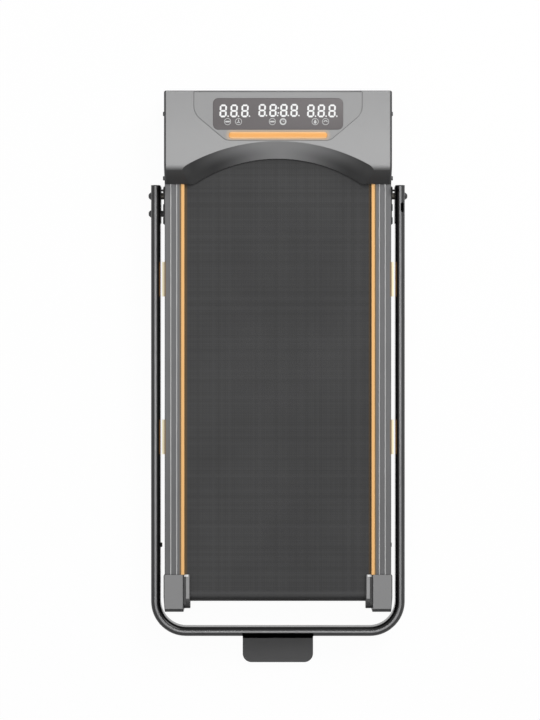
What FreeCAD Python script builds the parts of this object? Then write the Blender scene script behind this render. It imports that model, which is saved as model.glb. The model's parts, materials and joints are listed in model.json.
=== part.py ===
import FreeCAD, Part
import math
import os

V = FreeCAD.Vector
X_AXIS = V(1, 0, 0)
Y_AXIS = V(0, 1, 0)
Z_AXIS = V(0, 0, 1)
ORIGIN = V(0, 0, 0)

# Walking pad with a folding handrail, in millimetres.
# X runs to the right, Y to the front (the motor hood), Z up.
# The origin is on the floor under the middle of the whole pad.

# Lengths along the pad, front to back
hood_length = 196.0
rail_length = 834.5
end_cap_length = 79.5
tail_gap = 33.5
holder_reach = 61.5

# Widths across the pad
pad_width = 484.0
belt_side_gap = 12.0
handrail_gap = 10.0

# Shared fits and walls
overrun = 5.0
running_fit = 0.05
screw_clearance = 0.15
moving_gap = 0.3
parallel_share = 0.999

# Frame
foot_height = 18.0
foot_diameter = 32.0
foot_chamfer = 2.0
front_foot_setback = 130.0
foot_cap_gap = 10.0
frame_tube_width = 27.0
frame_tube_height = 50.0
frame_tube_wall = 2.0
frame_front_gap = 2.0
frame_tail_gap = 21.0
cross_tube_count = 4
cross_tube_length = 30.0
cross_belt_gap = 5.3
cross_tube_wall = 1.5
cross_tube_inset = 60.0
tray_thickness = 3.0
tray_roller_gap = 3.0
tray_front_gap = 4.0

# Deck, belt and rollers
deck_thickness = 15.0
deck_rise = 2.0
deck_overhang = 1.0
deck_edge_radius = 6.0
cushion_height = 4.0
cushion_length = 24.0
cushion_width = 40.0
cushion_offset_share = 0.75
belt_thickness = 1.6
belt_deck_gap = 0.3
belt_roller_gap = 0.3
belt_tail_inset = 20.5
roller_diameter = 44.0
roller_wall = 3.0
roller_end_gap = 2.0
roller_deck_gap = 6.0
front_roller_setback = 129.0
axle_diameter = 12.0
axle_end_gap = 5.0
bearing_width = 10.0
bearing_groove_depth = 0.8
bearing_groove_inner = 10.0
bearing_groove_outer = 15.0
tension_travel = 8.0
adjuster_diameter = 8.0
adjuster_head_diameter = 13.0
adjuster_head_height = 8.0
adjuster_socket_depth = 4.0
adjuster_socket_diameter = 6.0

# Side rails, trim strips, accents
rail_wall = 3.0
rail_thickness = 5.0
rail_belt_gap = 2.0
rail_overlap = 1.5
rail_skirt_gap = 2.0
rail_edge_radius = 1.5
ridge_radius = 2.0
ridge_sink = 0.8
ridge_insets = (13.0, 25.6)
trim_width = 6.6
trim_inset = 1.6
trim_depth = 1.2
trim_proud = 0.4
trim_edge_radius = 0.3
accent_length = 73.5
accent_height = 9.0
accent_proud = 6.0
accent_drop = 14.0
accent_setback_shares = (0.1988, 0.6038)

# Rear end caps and roller guards
cap_wall = 3.0
cap_proud = 2.3
cap_rise = 4.0
cap_skirt_gap = 2.0
cap_belt_gap = 2.0
cap_taper = 2.5
cap_taper_length = 31.0
cap_chamfer = 7.0
cap_edge_radius = 2.0
cap_front_cut = 2.5
guard_width = 14.0
guard_thickness = 3.0
guard_belt_gap = 2.0
guard_drop = 10.0
guard_groove_width = 5.5
guard_groove_depth = 2.0
guard_tail = 14.5
guard_end_radius = 18.0

# Motor hood
hood_wall = 3.0
hood_top_wall = 4.5
hood_slope_wall = 4.0
hood_corner_radius = 4.0
hood_edge_radius = 3.5
hood_height = 96.0
hood_belt_gap = 4.0
hood_lip_rise = 3.0
crease_arch_radius = 400.0
scoop_length = 34.0
edge_arch_radius = 318.0
side_slope_length = 31.0
side_slope_radius = 24.0

# Console panel, display window and light bar, let into the hood's top
console_margin = 1.2
console_side_margin = 41.0
console_side_share = 0.45
console_corner_radius = 34.0
console_rear_radius = 21.0
console_front_gap = 2.5
console_thickness = 2.5
console_seam = 1.1
light_bar_end_gap = 6.5
light_bar_width = 14.5
light_bar_margin = 4.3
window_length = 276.0
window_width = 67.0
window_overhang = 27.0
window_front_margin = 13.9
window_gap = 4.3
window_radius = 11.7
window_ledge = 4.0
lens_fit = 0.15
board_thickness = 1.6
led_module_gap = 0.3
led_module_width_share = 0.42
led_module_setback_share = 0.18
led_module_length_shares = (0.26, 0.35, 0.26)
led_module_offset_shares = (-0.337, 0, 0.337)

# Motor, drive and electronics under the hood
motor_center_gap = 10.0
motor_side_gap = 52.0
motor_setback = 56.0
motor_headroom = 18.0
motor_flange_diameter = 40.0
motor_flange_length = 5.0
shaft_diameter = 10.0
shaft_tail = 8.0
cradle_length = 90.0
cradle_width = 56.0
cradle_height = 22.0
cradle_floor = 3.0
pulley_side_gap = 1.5
roller_pulley_diameter = 46.0
motor_pulley_diameter = 22.0
drive_belt_edge = 1.0
drive_belt_thickness = 2.5
drive_belt_gap = 0.3
controller_motor_gap = 50.0
controller_width = 54.0
controller_height = 38.0
controller_side_gap = 62.0
controller_setback = 36.0
controller_fin_count = 9
controller_fin_depth = 6.0
controller_fin_share = 0.5

# Transport wheels
wheel_diameter = 48.0
wheel_width = 22.0
wheel_axle_rise = 11.0
wheel_setback = 37.0
wheel_side_gap = 20.0
wheel_axle_diameter = 8.0
wheel_groove_radius = 2.0
wheel_hub_diameter = 24.0
wheel_recess = 3.0
wheel_opening_gap = 4.0
axle_head_diameter = 13.0
axle_head_height = 5.0
axle_nut_height = 6.0

# Power inlet, rocker switch and breaker, behind a window in the hood's front
service_wheel_gap = 15.0
service_rise = 30.0
service_length = 110.0
service_height = 36.0
service_lap = 6.0
service_thickness = 3.0
service_radius = 3.0
inlet_offset = -33.0
inlet_length = 30.0
inlet_height = 22.0
inlet_depth = 25.0
inlet_flange = 3.0
inlet_flange_thickness = 1.5
inlet_cavity_length = 24.0
inlet_cavity_height = 16.5
inlet_cavity_depth = 16.0
inlet_pin_spacing = 7.0
inlet_pin_width = 2.0
inlet_pin_height = 4.0
inlet_pin_length = 11.0
switch_offset = 9.0
switch_length = 14.0
switch_height = 22.0
switch_depth = 16.0
switch_wall = 1.6
switch_flange = 2.0
switch_flange_thickness = 1.0
rocker_height = 15.0
rocker_depth = 6.0
rocker_sink = 1.5
rocker_pin_diameter = 2.4
rocker_pin_length = 1.0
rocker_angle = 8.0
rocker_edge_radius = 0.6
breaker_offset = 38.0
breaker_diameter = 12.0
breaker_depth = 22.0
breaker_collar_diameter = 17.0
breaker_collar_thickness = 1.0
breaker_bore_depth = 8.0
button_diameter = 8.0
button_length = 6.0
button_proud = 1.2
button_edge_radius = 0.5

# Handrail tube, flat-oval, standing on its narrow side when folded
tube_width = 20.0
tube_depth = 50.0
tube_wall = 1.5
tube_bend_radius = 65.0
tube_rise = 2.0
tube_end_behind_hood = 1.3
plug_flange = 2.0
plug_depth = 12.0
plug_fit = 0.2
slot_length = 21.0
slot_width = 6.4
slot_outset = 4.0
slot_behind_pivot = 25.4

# Hinge: bracket on the rail, plate and bush on the tube, bolts
pivot_behind_hood = 23.5
bracket_thickness = 2.0
bracket_front_reach = 20.0
bracket_rear_reach = 62.0
bracket_half_height = 25.0
bracket_corner_radius = 10.0
stop_neck_length = 9.0
stop_tab_length = 3.5
stop_tab_rise = 7.0
bolt_diameter = 8.0
bolt_head_width = 13.0
bolt_head_height = 5.0
bolt_dome_diameter = 14.5
bolt_socket_width = 6.0
bolt_socket_depth = 2.5
washer_diameter = 16.0
washer_thickness = 1.5
bolt_nut_height = 6.5
stop_bolt_reach = 38.0
bush_wall = 2.0
bush_flange_diameter = 14.5
hinge_plate_thickness = 1.3
hinge_plate_margin = 2.0
hinge_plate_rear_reach = 59.0
hinge_plate_radius = 8.0
bracket_bolt_diameter = 6.0
bracket_bolt_head_diameter = 15.0
bracket_bolt_head_height = 3.4
bracket_bolt_tail = 7.0
bracket_bolt_drop = 16.0
bracket_bolt_reaches = (-51.5, -23.5, 12.0)
bumper_ahead_of_cap = 61.5
bumper_diameter = 9.5
bumper_edge_radius = 1.0
rail_bumper_height = 2.6
tube_bumper_height = 3.4
hood_screw_setback = 44.0
hood_screw_rear_inset = 14.0
hood_screw_diameter = 5.0
hood_screw_head_diameter = 9.0
hood_screw_head_height = 4.4
hood_screw_tail = 6.0
hood_screw_rise = 40.0

# Phone holder under the crossbar
holder_width = 152.0
holder_thickness = 4.0
holder_radius = 19.0
holder_edge_radius = 1.2
holder_lap = 16.5
saddle_width = 90.0
saddle_height = 8.0
saddle_fit = 0.1
holder_rib_length = 8.5
holder_rib_height = 7.0
ledge_depth = 12.0
ledge_thickness = 3.0
ledge_lip = 12.0
pad_inset = 8.0
phone_pad_thickness = 1.4
phone_pad_length = 44.0
phone_pad_radius = 12.0
holder_screw_diameter = 5.0
holder_screw_head_diameter = 9.0
holder_screw_head_height = 2.4
holder_screw_offset = 30.0
holder_screw_tail = 5.0

# Places worked out from the sizes above
tube_run = hood_length + rail_length + end_cap_length + tail_gap + tube_width
front_y = (tube_run + holder_reach) / 2
hood_rear_y = front_y - hood_length
cap_front_y = hood_rear_y - rail_length
cap_rear_y = cap_front_y - end_cap_length
bar_front_y = cap_rear_y - tail_gap
bar_y = bar_front_y - tube_width / 2
bar_rear_y = bar_front_y - tube_width
holder_rear_y = bar_rear_y - holder_reach

half_width = pad_width / 2
wall_x = half_width - rail_wall
frame_x = wall_x - frame_tube_width
belt_half = frame_x - belt_side_gap
frame_bottom = foot_height
frame_top = frame_bottom + frame_tube_height
deck_top = frame_top + deck_rise
deck_bottom = deck_top - deck_thickness
cross_top = deck_bottom - cushion_height
tray_top = frame_bottom + tray_thickness

roller_radius = roller_diameter / 2
belt_inner_radius = roller_radius + belt_roller_gap
belt_outer_radius = belt_inner_radius + belt_thickness
roller_z = deck_top + belt_deck_gap - belt_inner_radius
belt_top = roller_z + belt_outer_radius
cross_bottom = roller_z - belt_inner_radius + cross_belt_gap
front_roller_y = front_y - front_roller_setback
rear_roller_y = cap_rear_y + belt_tail_inset + belt_outer_radius
roller_half = belt_half - roller_end_gap
axle_half = wall_x - frame_tube_wall - axle_end_gap
adjuster_x = frame_x + frame_tube_width / 2
deck_front_y = front_roller_y - belt_outer_radius - roller_deck_gap
deck_rear_y = rear_roller_y + belt_outer_radius + roller_deck_gap
deck_half = belt_half + deck_overhang
tray_rear_y = front_roller_y + belt_outer_radius + tray_roller_gap
frame_front_y = front_y - hood_wall - frame_front_gap
frame_rear_y = cap_rear_y + frame_tail_gap

lip_bottom = belt_top + rail_belt_gap
rail_top = lip_bottom + rail_thickness
rail_bottom = frame_bottom + rail_skirt_gap
lip_x = belt_half - rail_overlap

hood_top = frame_bottom + hood_height
motor_diameter = hood_top - motor_headroom - cradle_floor - tray_top
motor_z = tray_top + cradle_floor + motor_diameter / 2
edge_arch_z = belt_top + hood_belt_gap
pivot_y = hood_rear_y - pivot_behind_hood
tube_bottom = frame_bottom + tube_rise
pivot_z = tube_bottom + tube_depth / 2
tube_inner_x = half_width + handrail_gap
tube_x = tube_inner_x + tube_width / 2
tube_outer_x = tube_inner_x + tube_width
tube_top = tube_bottom + tube_depth
tube_flat = tube_depth - tube_width
bracket_x = half_width + bracket_thickness
hinge_plate_x = tube_inner_x - hinge_plate_thickness

motor_y = front_y - motor_setback
motor_right_x = frame_x - motor_side_gap
motor_left_x = motor_center_gap
pulley_left_x = belt_half + pulley_side_gap
pulley_right_x = frame_x - pulley_side_gap
wheel_y = front_y - wheel_setback
wheel_z = frame_bottom + wheel_axle_rise
wheel_right_x = frame_x - wheel_side_gap
wheel_left_x = wheel_right_x - wheel_width


# Shape helpers

def box(x_range, y_range, z_range):
    """Box between the given ends along each axis."""
    low = V(min(x_range), min(y_range), min(z_range))
    high = V(max(x_range), max(y_range), max(z_range))
    size = high.sub(low)
    return Part.makeBox(size.x, size.y, size.z, low)


def rod_x(radius, x_range, y, z):
    low, high = min(x_range), max(x_range)
    return Part.makeCylinder(radius, high - low, V(low, y, z), X_AXIS)


def rod_y(radius, y_range, x, z):
    low, high = min(y_range), max(y_range)
    return Part.makeCylinder(radius, high - low, V(x, low, z), Y_AXIS)


def rod_z(radius, z_range, x, y):
    low, high = min(z_range), max(z_range)
    return Part.makeCylinder(radius, high - low, V(x, y, low), Z_AXIS)


def hex_x(width, x_range, y, z):
    """Six-sided bar along X, measured across its flats."""
    low, high = min(x_range), max(x_range)
    radius = width / math.sqrt(3)
    turns = [math.pi / 6 + step * math.pi / 3 for step in range(6)]
    points = [V(low, y + radius * math.cos(turn), z + radius * math.sin(turn)) for turn in turns]
    return polygon_face(points).extrude(V(high - low, 0, 0))


def polygon_face(points):
    return Part.Face(Part.makePolygon(points + points[:1]))


def prism_x(outline, x_range):
    low, high = min(x_range), max(x_range)
    return polygon_face([V(low, y, z) for y, z in outline]).extrude(V(high - low, 0, 0))


def prism_y(outline, y_range):
    low, high = min(y_range), max(y_range)
    return polygon_face([V(x, low, z) for x, z in outline]).extrude(V(0, high - low, 0))


def prism_z(outline, z_range):
    low, high = min(z_range), max(z_range)
    return polygon_face([V(x, y, low) for x, y in outline]).extrude(V(0, 0, high - low))


def edges_along(shape, axis):
    """Straight edges of a shape that run along an axis."""
    found = []
    for edge in shape.Edges:
        straight = edge.Curve.TypeId == "Part::GeomLine"
        if straight and abs(edge.Curve.Direction.dot(axis)) > parallel_share:
            found.append(edge)
    return found


def edges_where(shape, test):
    return [edge for edge in shape.Edges if test(edge)]


def rounded_along(shape, axis, radius):
    """Round every straight edge that runs along an axis."""
    return shape.makeFillet(radius, edges_along(shape, axis))


def at_height(z):
    return lambda edge: all(abs(vertex.Z - z) < running_fit for vertex in edge.Vertexes)


def rounded_plate_z(x_range, y_range, z_range, radius):
    return rounded_along(box(x_range, y_range, z_range), Z_AXIS, radius)


def rounded_plate_y(x_range, y_range, z_range, radius):
    return rounded_along(box(x_range, y_range, z_range), Y_AXIS, radius)


def ring_x(outer, inner, x_range, y, z):
    low, high = min(x_range), max(x_range)
    hole = rod_x(inner, (low - overrun, high + overrun), y, z)
    return rod_x(outer, x_range, y, z).cut(hole)


def mirrored(shape):
    return shape.mirror(ORIGIN, X_AXIS)


def pair(shape):
    return [shape, mirrored(shape)]


def fused(shapes):
    first, rest = shapes[0], shapes[1:]
    return first.fuse(rest).removeSplitter()


def drilled(shape, tools):
    return shape.cut(tools) if tools else shape


def loop_face(x, first, first_radius, second, second_radius):
    """Flat face of a belt's outline round two circles, in the plane at x."""
    dy, dz = second[0] - first[0], second[1] - first[1]
    lean = math.atan2(dz, dy)
    spread = math.acos((first_radius - second_radius) / math.hypot(dy, dz))

    def on_circle(center, radius, turn):
        return V(x, center[0] + radius * math.cos(turn), center[1] + radius * math.sin(turn))

    top_first = on_circle(first, first_radius, lean + spread)
    top_second = on_circle(second, second_radius, lean + spread)
    low_first = on_circle(first, first_radius, lean - spread)
    low_second = on_circle(second, second_radius, lean - spread)
    edges = [
        Part.makeLine(top_first, top_second),
        Part.Arc(top_second, on_circle(second, second_radius, lean), low_second).toShape(),
        Part.makeLine(low_second, low_first),
        Part.Arc(low_first, on_circle(first, first_radius, lean + math.pi), top_first).toShape(),
    ]
    return Part.Face(Part.Wire(edges))


def belt_loop(x_range, first, first_radius, second, second_radius, thickness):
    """Closed flat belt round two circles given by their centres in Y and Z."""
    low, high = min(x_range), max(x_range)
    outer = loop_face(low, first, first_radius + thickness, second, second_radius + thickness)
    inner = loop_face(low, first, first_radius, second, second_radius)
    return outer.cut(inner).extrude(V(high - low, 0, 0))


def save(name, solids):
    """Write one named piece, or one group of like pieces, as a STEP file."""
    found = []
    for shape in solids if isinstance(solids, list) else [solids]:
        found.extend(shape.Solids)
    whole = found[0] if len(found) == 1 else Part.makeCompound(found)
    whole.exportStep("parts/" + name + ".step")
    print(name, len(found), "solids", round(whole.Volume), "mm3", "ok" if whole.isValid() else "INVALID")


os.makedirs("parts", exist_ok=True)


# Bolt and screw places, used by every piece that they pass through

bracket_bolt_places = [(pivot_y + reach, pivot_z - bracket_bolt_drop) for reach in bracket_bolt_reaches]
hood_screw_z = frame_bottom + hood_screw_rise
hood_screw_ys = (front_y - hood_screw_setback, hood_rear_y + hood_screw_rear_inset)
hood_screw_places = [(y, hood_screw_z) for y in hood_screw_ys]


def side_holes(x_range):
    """Clearance holes through the right-hand walls, for the hinge bolts."""
    holes = [rod_x(bolt_diameter / 2 + screw_clearance, x_range, pivot_y, pivot_z)]
    radius = bracket_bolt_diameter / 2 + screw_clearance
    holes.extend(rod_x(radius, x_range, y, z) for y, z in bracket_bolt_places)
    return holes


def hood_screw_holes(x_range):
    radius = hood_screw_diameter / 2 + screw_clearance
    return [rod_x(radius, x_range, y, z) for y, z in hood_screw_places]


# Frame side tubes, cross tubes, motor tray and feet

def make_frame_tube():
    tube = box((frame_x, wall_x), (frame_rear_y, frame_front_y), (frame_bottom, frame_top))
    hollow = box(
        (frame_x + frame_tube_wall, wall_x - frame_tube_wall),
        (frame_rear_y + frame_tube_wall, frame_front_y + overrun),
        (frame_bottom + frame_tube_wall, frame_top - frame_tube_wall),
    )
    tube = tube.cut(hollow)
    inner_wall = (frame_x - overrun, frame_x + frame_tube_wall + overrun)
    outer_wall = (wall_x - frame_tube_wall - overrun, wall_x + overrun)
    axle_hole = axle_diameter / 2 + screw_clearance
    slot = box(
        inner_wall,
        (rear_roller_y - axle_hole - tension_travel, rear_roller_y + axle_hole + tension_travel),
        (roller_z - axle_hole, roller_z + axle_hole),
    )
    end_wall = (frame_rear_y - overrun, frame_rear_y + frame_tube_wall + overrun)
    wheel_hole = wheel_axle_diameter / 2 + screw_clearance
    tools = [
        rod_x(axle_hole, inner_wall, front_roller_y, roller_z),
        slot,
        rod_y(adjuster_diameter / 2 + screw_clearance, end_wall, adjuster_x, roller_z),
        rod_x(wheel_hole, inner_wall, wheel_y, wheel_z),
    ]
    return drilled(tube, tools + side_holes(outer_wall) + hood_screw_holes(outer_wall))


def cross_tube_places():
    """Middles of the cross tubes, spread evenly under the deck."""
    first = deck_rear_y + cross_tube_inset
    last = deck_front_y - cross_tube_inset
    step = (last - first) / (cross_tube_count - 1)
    return [first + index * step for index in range(cross_tube_count)]


def make_cross_tube(y):
    half = cross_tube_length / 2
    tube = box((-frame_x, frame_x), (y - half, y + half), (cross_bottom, cross_top))
    hollow = box(
        (-frame_x - overrun, frame_x + overrun),
        (y - half + cross_tube_wall, y + half - cross_tube_wall),
        (cross_bottom + cross_tube_wall, cross_top - cross_tube_wall),
    )
    return tube.cut(hollow)


def make_tray():
    tray = box(
        (-frame_x, frame_x),
        (tray_rear_y, front_y - hood_wall - tray_front_gap),
        (frame_bottom, tray_top),
    )
    reach = wheel_diameter / 2 + wheel_opening_gap
    opening = box(
        (wheel_left_x - axle_head_height - wheel_opening_gap, frame_x + overrun),
        (wheel_y - reach, wheel_y + reach),
        (frame_bottom - overrun, tray_top + overrun),
    )
    return tray.cut(pair(opening))


def make_feet():
    feet = []
    x = frame_x + frame_tube_width / 2
    rear_y = cap_front_y + foot_cap_gap + foot_diameter / 2
    for y in (front_y - front_foot_setback, rear_y):
        foot = rod_z(foot_diameter / 2, (0, foot_height), x, y)
        foot = foot.makeChamfer(foot_chamfer, edges_where(foot, at_height(0)))
        feet.extend(pair(foot))
    return feet


frame_tube = make_frame_tube()
save("right_frame_tube", frame_tube)
save("left_frame_tube", mirrored(frame_tube))
save("cross_tubes", [make_cross_tube(y) for y in cross_tube_places()])
save("motor_tray", make_tray())
save("rubber_feet", make_feet())


# Deck board, its cushions and the walking belt

def make_deck_board():
    deck = box((-deck_half, deck_half), (deck_rear_y, deck_front_y), (deck_bottom, deck_top))
    ends = [edge for edge in edges_along(deck, X_AXIS) if at_height(deck_top)(edge)]
    return deck.makeFillet(deck_edge_radius, ends)


def make_cushions():
    cushions = []
    half = cushion_length / 2
    x = deck_half * cushion_offset_share
    for y in cross_tube_places():
        side = (x - cushion_width / 2, x + cushion_width / 2)
        cushions.extend(pair(box(side, (y - half, y + half), (cross_top, deck_bottom))))
    return cushions


front_roller = (front_roller_y, roller_z)
rear_roller = (rear_roller_y, roller_z)
belt_span = (-belt_half, belt_half)
walking_belt = belt_loop(
    belt_span, rear_roller, belt_inner_radius, front_roller, belt_inner_radius, belt_thickness
)
save("deck_board", make_deck_board())
save("deck_cushions", make_cushions())
save("walking_belt", walking_belt)


# Rollers: steel tubes on sealed bearings, turning on fixed axles

def make_roller_tube(y):
    return ring_x(roller_radius, roller_radius - roller_wall, (-roller_half, roller_half), y, roller_z)


def make_bearing(y):
    """Sealed bearing at the right end, with a shallow shield groove on its outer face."""
    face = (roller_half - bearing_width, roller_half)
    ring = ring_x(roller_radius - roller_wall, axle_diameter / 2 + running_fit, face, y, roller_z)
    groove_face = (roller_half - bearing_groove_depth, roller_half + overrun)
    groove = ring_x(bearing_groove_outer, bearing_groove_inner, groove_face, y, roller_z)
    return ring.cut(groove)


def make_axle(y):
    return rod_x(axle_diameter / 2, (-axle_half, axle_half), y, roller_z)


def make_adjuster():
    """Socket-head tension bolt that pulls the rear axle back, reached through the end cap."""
    head_rear = frame_rear_y - adjuster_head_height
    reach = (frame_rear_y, rear_roller_y + axle_diameter)
    bolt = rod_y(adjuster_diameter / 2, reach, adjuster_x, roller_z)
    head = rod_y(adjuster_head_diameter / 2, (head_rear, frame_rear_y), adjuster_x, roller_z)
    socket_face = (head_rear - overrun, head_rear + adjuster_socket_depth)
    socket = rod_y(adjuster_socket_diameter / 2, socket_face, adjuster_x, roller_z)
    return fused([bolt, head]).cut(socket)


adjuster_hole = rod_y(
    adjuster_diameter / 2 + screw_clearance,
    (rear_roller_y - axle_diameter, rear_roller_y + axle_diameter),
    adjuster_x,
    roller_z,
)
save("front_roller_tube", make_roller_tube(front_roller_y))
save("front_roller_bearings", pair(make_bearing(front_roller_y)))
save("front_roller_axle", make_axle(front_roller_y))
save("rear_roller_tube", make_roller_tube(rear_roller_y))
save("rear_roller_bearings", pair(make_bearing(rear_roller_y)))
save("rear_roller_axle", make_axle(rear_roller_y).cut(pair(adjuster_hole)))
save("adjuster_bolts", pair(make_adjuster()))


# Side rails with their ridges, trim strips and side accents

rail_run = (cap_front_y, hood_rear_y)
trim_span = (lip_x + trim_inset, lip_x + trim_inset + trim_width)


def make_side_rail():
    outline = [
        (half_width, rail_bottom),
        (half_width, rail_top),
        (lip_x, rail_top),
        (lip_x, lip_bottom),
        (frame_x, lip_bottom),
        (frame_x, frame_top),
        (wall_x, frame_top),
        (wall_x, rail_bottom),
    ]
    rail = prism_y(outline, rail_run)
    top_edges = [edge for edge in edges_along(rail, Y_AXIS) if at_height(rail_top)(edge)]
    rail = rail.makeFillet(rail_edge_radius, top_edges)
    chamber = box(
        (frame_x + rail_wall, wall_x),
        (cap_front_y - overrun, hood_rear_y + overrun),
        (frame_top + rail_wall, rail_top - rail_wall),
    )
    groove = box(
        trim_span,
        (cap_front_y - overrun, hood_rear_y + overrun),
        (rail_top - trim_depth, rail_top + overrun),
    )
    ridge_z = rail_top - ridge_sink
    ridges = [rod_y(ridge_radius, rail_run, half_width - inset, ridge_z) for inset in ridge_insets]
    rail = fused([rail.cut([chamber, groove])] + ridges)
    return drilled(rail, side_holes((wall_x - overrun, half_width + overrun)))


def make_trim_strip():
    strip_top = rail_top + trim_proud
    strip = box(trim_span, rail_run, (rail_top - trim_depth, strip_top))
    top_edges = [edge for edge in edges_along(strip, Y_AXIS) if at_height(strip_top)(edge)]
    return strip.makeFillet(trim_edge_radius, top_edges)


def make_accents():
    accents = []
    top = rail_top - accent_drop
    for share in accent_setback_shares:
        y = hood_rear_y - rail_length * share
        accent = box(
            (half_width, half_width + accent_proud), (y - accent_length, y), (top - accent_height, top)
        )
        accents.extend(pair(accent))
    return accents


side_rail = make_side_rail()
save("right_side_rail", side_rail)
save("left_side_rail", mirrored(side_rail))
save("trim_strips", pair(make_trim_strip()))
save("side_accents", make_accents())


# Rear end caps and the roller guards inside them

cap_inner_x = belt_half + cap_belt_gap
cap_outer_x = half_width + cap_proud
cap_bottom = frame_bottom - cap_skirt_gap
cap_top = rail_top + cap_rise


def cap_outline(wall, rear_wall, front_y_end):
    return [
        (cap_inner_x + wall, front_y_end),
        (cap_outer_x - wall, front_y_end),
        (cap_outer_x - wall, cap_rear_y + cap_taper_length),
        (cap_outer_x - cap_taper - wall, cap_rear_y + rear_wall),
        (cap_inner_x + wall, cap_rear_y + rear_wall),
    ]


def make_end_cap():
    cap = prism_z(cap_outline(0, 0, cap_front_y), (cap_bottom, cap_top))
    front_corner = [
        edge
        for edge in edges_along(cap, Z_AXIS)
        if math.hypot(edge.Vertexes[0].X - cap_outer_x, edge.Vertexes[0].Y - cap_front_y) < running_fit
    ]
    cap = cap.makeChamfer(cap_front_cut, front_corner)
    rear_top = edges_where(
        cap,
        lambda edge: at_height(cap_top)(edge)
        and all(abs(vertex.Y - cap_rear_y) < running_fit for vertex in edge.Vertexes),
    )
    cap = cap.makeChamfer(cap_chamfer, rear_top)
    side_top = edges_where(
        cap,
        lambda edge: at_height(cap_top)(edge)
        and abs(edge.Vertexes[0].Y - edge.Vertexes[-1].Y) > cap_edge_radius,
    )
    cap = cap.makeFillet(cap_edge_radius, side_top)
    hollow = prism_z(
        cap_outline(cap_wall, cap_chamfer, cap_front_y + overrun),
        (cap_bottom - overrun, cap_top - cap_wall),
    )
    reach = axle_diameter / 2 + moving_gap
    axle_slot = box(
        (cap_inner_x - overrun, cap_inner_x + cap_wall + overrun),
        (rear_roller_y - reach - tension_travel, cap_front_y + overrun),
        (roller_z - reach, roller_z + reach),
    )
    bolt_hole = rod_y(
        adjuster_head_diameter / 2 + moving_gap,
        (cap_rear_y - overrun, cap_rear_y + cap_chamfer + overrun),
        adjuster_x,
        roller_z,
    )
    return cap.cut([hollow, axle_slot, bolt_hole])


def make_roller_guard():
    """Grooved strip over the belt's edge, ending in a rounded block behind the rear roller."""
    span = (cap_inner_x - guard_width, cap_inner_x)
    inner = belt_outer_radius + guard_belt_gap
    top = roller_z + inner + guard_thickness
    bottom = roller_z - guard_drop
    rear_y = rear_roller_y - belt_outer_radius - guard_tail
    guard = box(span, (rear_y, cap_front_y), (bottom, top))
    end_edge = edges_where(
        guard,
        lambda edge: at_height(top)(edge)
        and all(abs(vertex.Y - rear_y) < running_fit for vertex in edge.Vertexes),
    )
    guard = guard.makeFillet(guard_end_radius, end_edge)
    wide = (span[0] - overrun, span[1] + overrun)
    roller_room = rod_x(inner, wide, rear_roller_y, roller_z)
    belt_room = box(wide, (rear_roller_y, cap_front_y + overrun), (bottom - overrun, roller_z + inner))
    groove = box(
        (cap_inner_x - guard_groove_width, wide[1]),
        (rear_y - overrun, cap_front_y + overrun),
        (top - guard_groove_depth, top + overrun),
    )
    return guard.cut([roller_room, belt_room, groove])


end_cap = make_end_cap()
save("right_end_cap", end_cap)
save("left_end_cap", mirrored(end_cap))
save("roller_guards", pair(make_roller_guard()))


# Motor hood: a flat-topped shell whose rear is scooped out in an arch over the belt

console_front_y = front_y - console_front_gap
window_front_y = console_front_y - window_front_margin
window_rear_y = window_front_y - window_width
bar_low_y = window_rear_y - window_gap - light_bar_width
console_rear_y = bar_low_y - light_bar_margin
crease_apex_y = console_rear_y - console_margin
console_floor = hood_top - console_thickness
window_half = window_length / 2
console_half = window_half + console_side_margin
console_rear_half = window_half - window_overhang
light_bar_half = console_rear_half - light_bar_end_gap
slope_top_y = hood_rear_y + side_slope_length
slope_low_z = rail_top + hood_lip_rise
service_x = service_wheel_gap + service_length / 2 - wheel_left_x
service_z = frame_bottom + service_rise
panel_y = front_y - hood_wall


def make_scoop(shift):
    """Leaning cone between the top crease and the lower rear edge of the hood."""
    low_y = crease_apex_y - scoop_length - edge_arch_radius + shift
    top_y = crease_apex_y - crease_arch_radius + shift
    extra_share = overrun / (hood_top - edge_arch_z)
    high_y = top_y + (top_y - low_y) * extra_share
    high_radius = crease_arch_radius + (crease_arch_radius - edge_arch_radius) * extra_share
    low_ring = Part.Wire(Part.makeCircle(edge_arch_radius, V(0, low_y, edge_arch_z), Z_AXIS))
    high_ring = Part.Wire(Part.makeCircle(high_radius, V(0, high_y, hood_top + overrun), Z_AXIS))
    return Part.makeLoft([low_ring, high_ring], True, True)


def make_hood_block():
    outline = [
        (front_y, frame_bottom),
        (front_y, hood_top),
        (slope_top_y, hood_top),
        (hood_rear_y, slope_low_z),
        (hood_rear_y, frame_bottom),
    ]
    block = prism_x(outline, (-half_width, half_width))
    roll = edges_where(
        block,
        lambda edge: at_height(hood_top)(edge)
        and all(abs(vertex.Y - slope_top_y) < running_fit for vertex in edge.Vertexes),
    )
    block = block.makeFillet(side_slope_radius, roll)
    corners = edges_where(
        block,
        lambda edge: all(abs(vertex.Y - front_y) < running_fit for vertex in edge.Vertexes)
        and abs(edge.Vertexes[0].X - edge.Vertexes[-1].X) < running_fit,
    )
    block = block.makeFillet(hood_corner_radius, corners)

    def on_rim(edge):
        ends = edge.Vertexes
        if abs(ends[0].X - ends[-1].X) > half_width:
            return at_height(hood_top)(edge) and abs(ends[0].Y - front_y) < running_fit
        beside = all(abs(end.X) > half_width - hood_corner_radius - running_fit for end in ends)
        return beside and edge.CenterOfMass.z > slope_low_z

    return block.makeFillet(hood_edge_radius, edges_where(block, on_rim))


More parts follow.
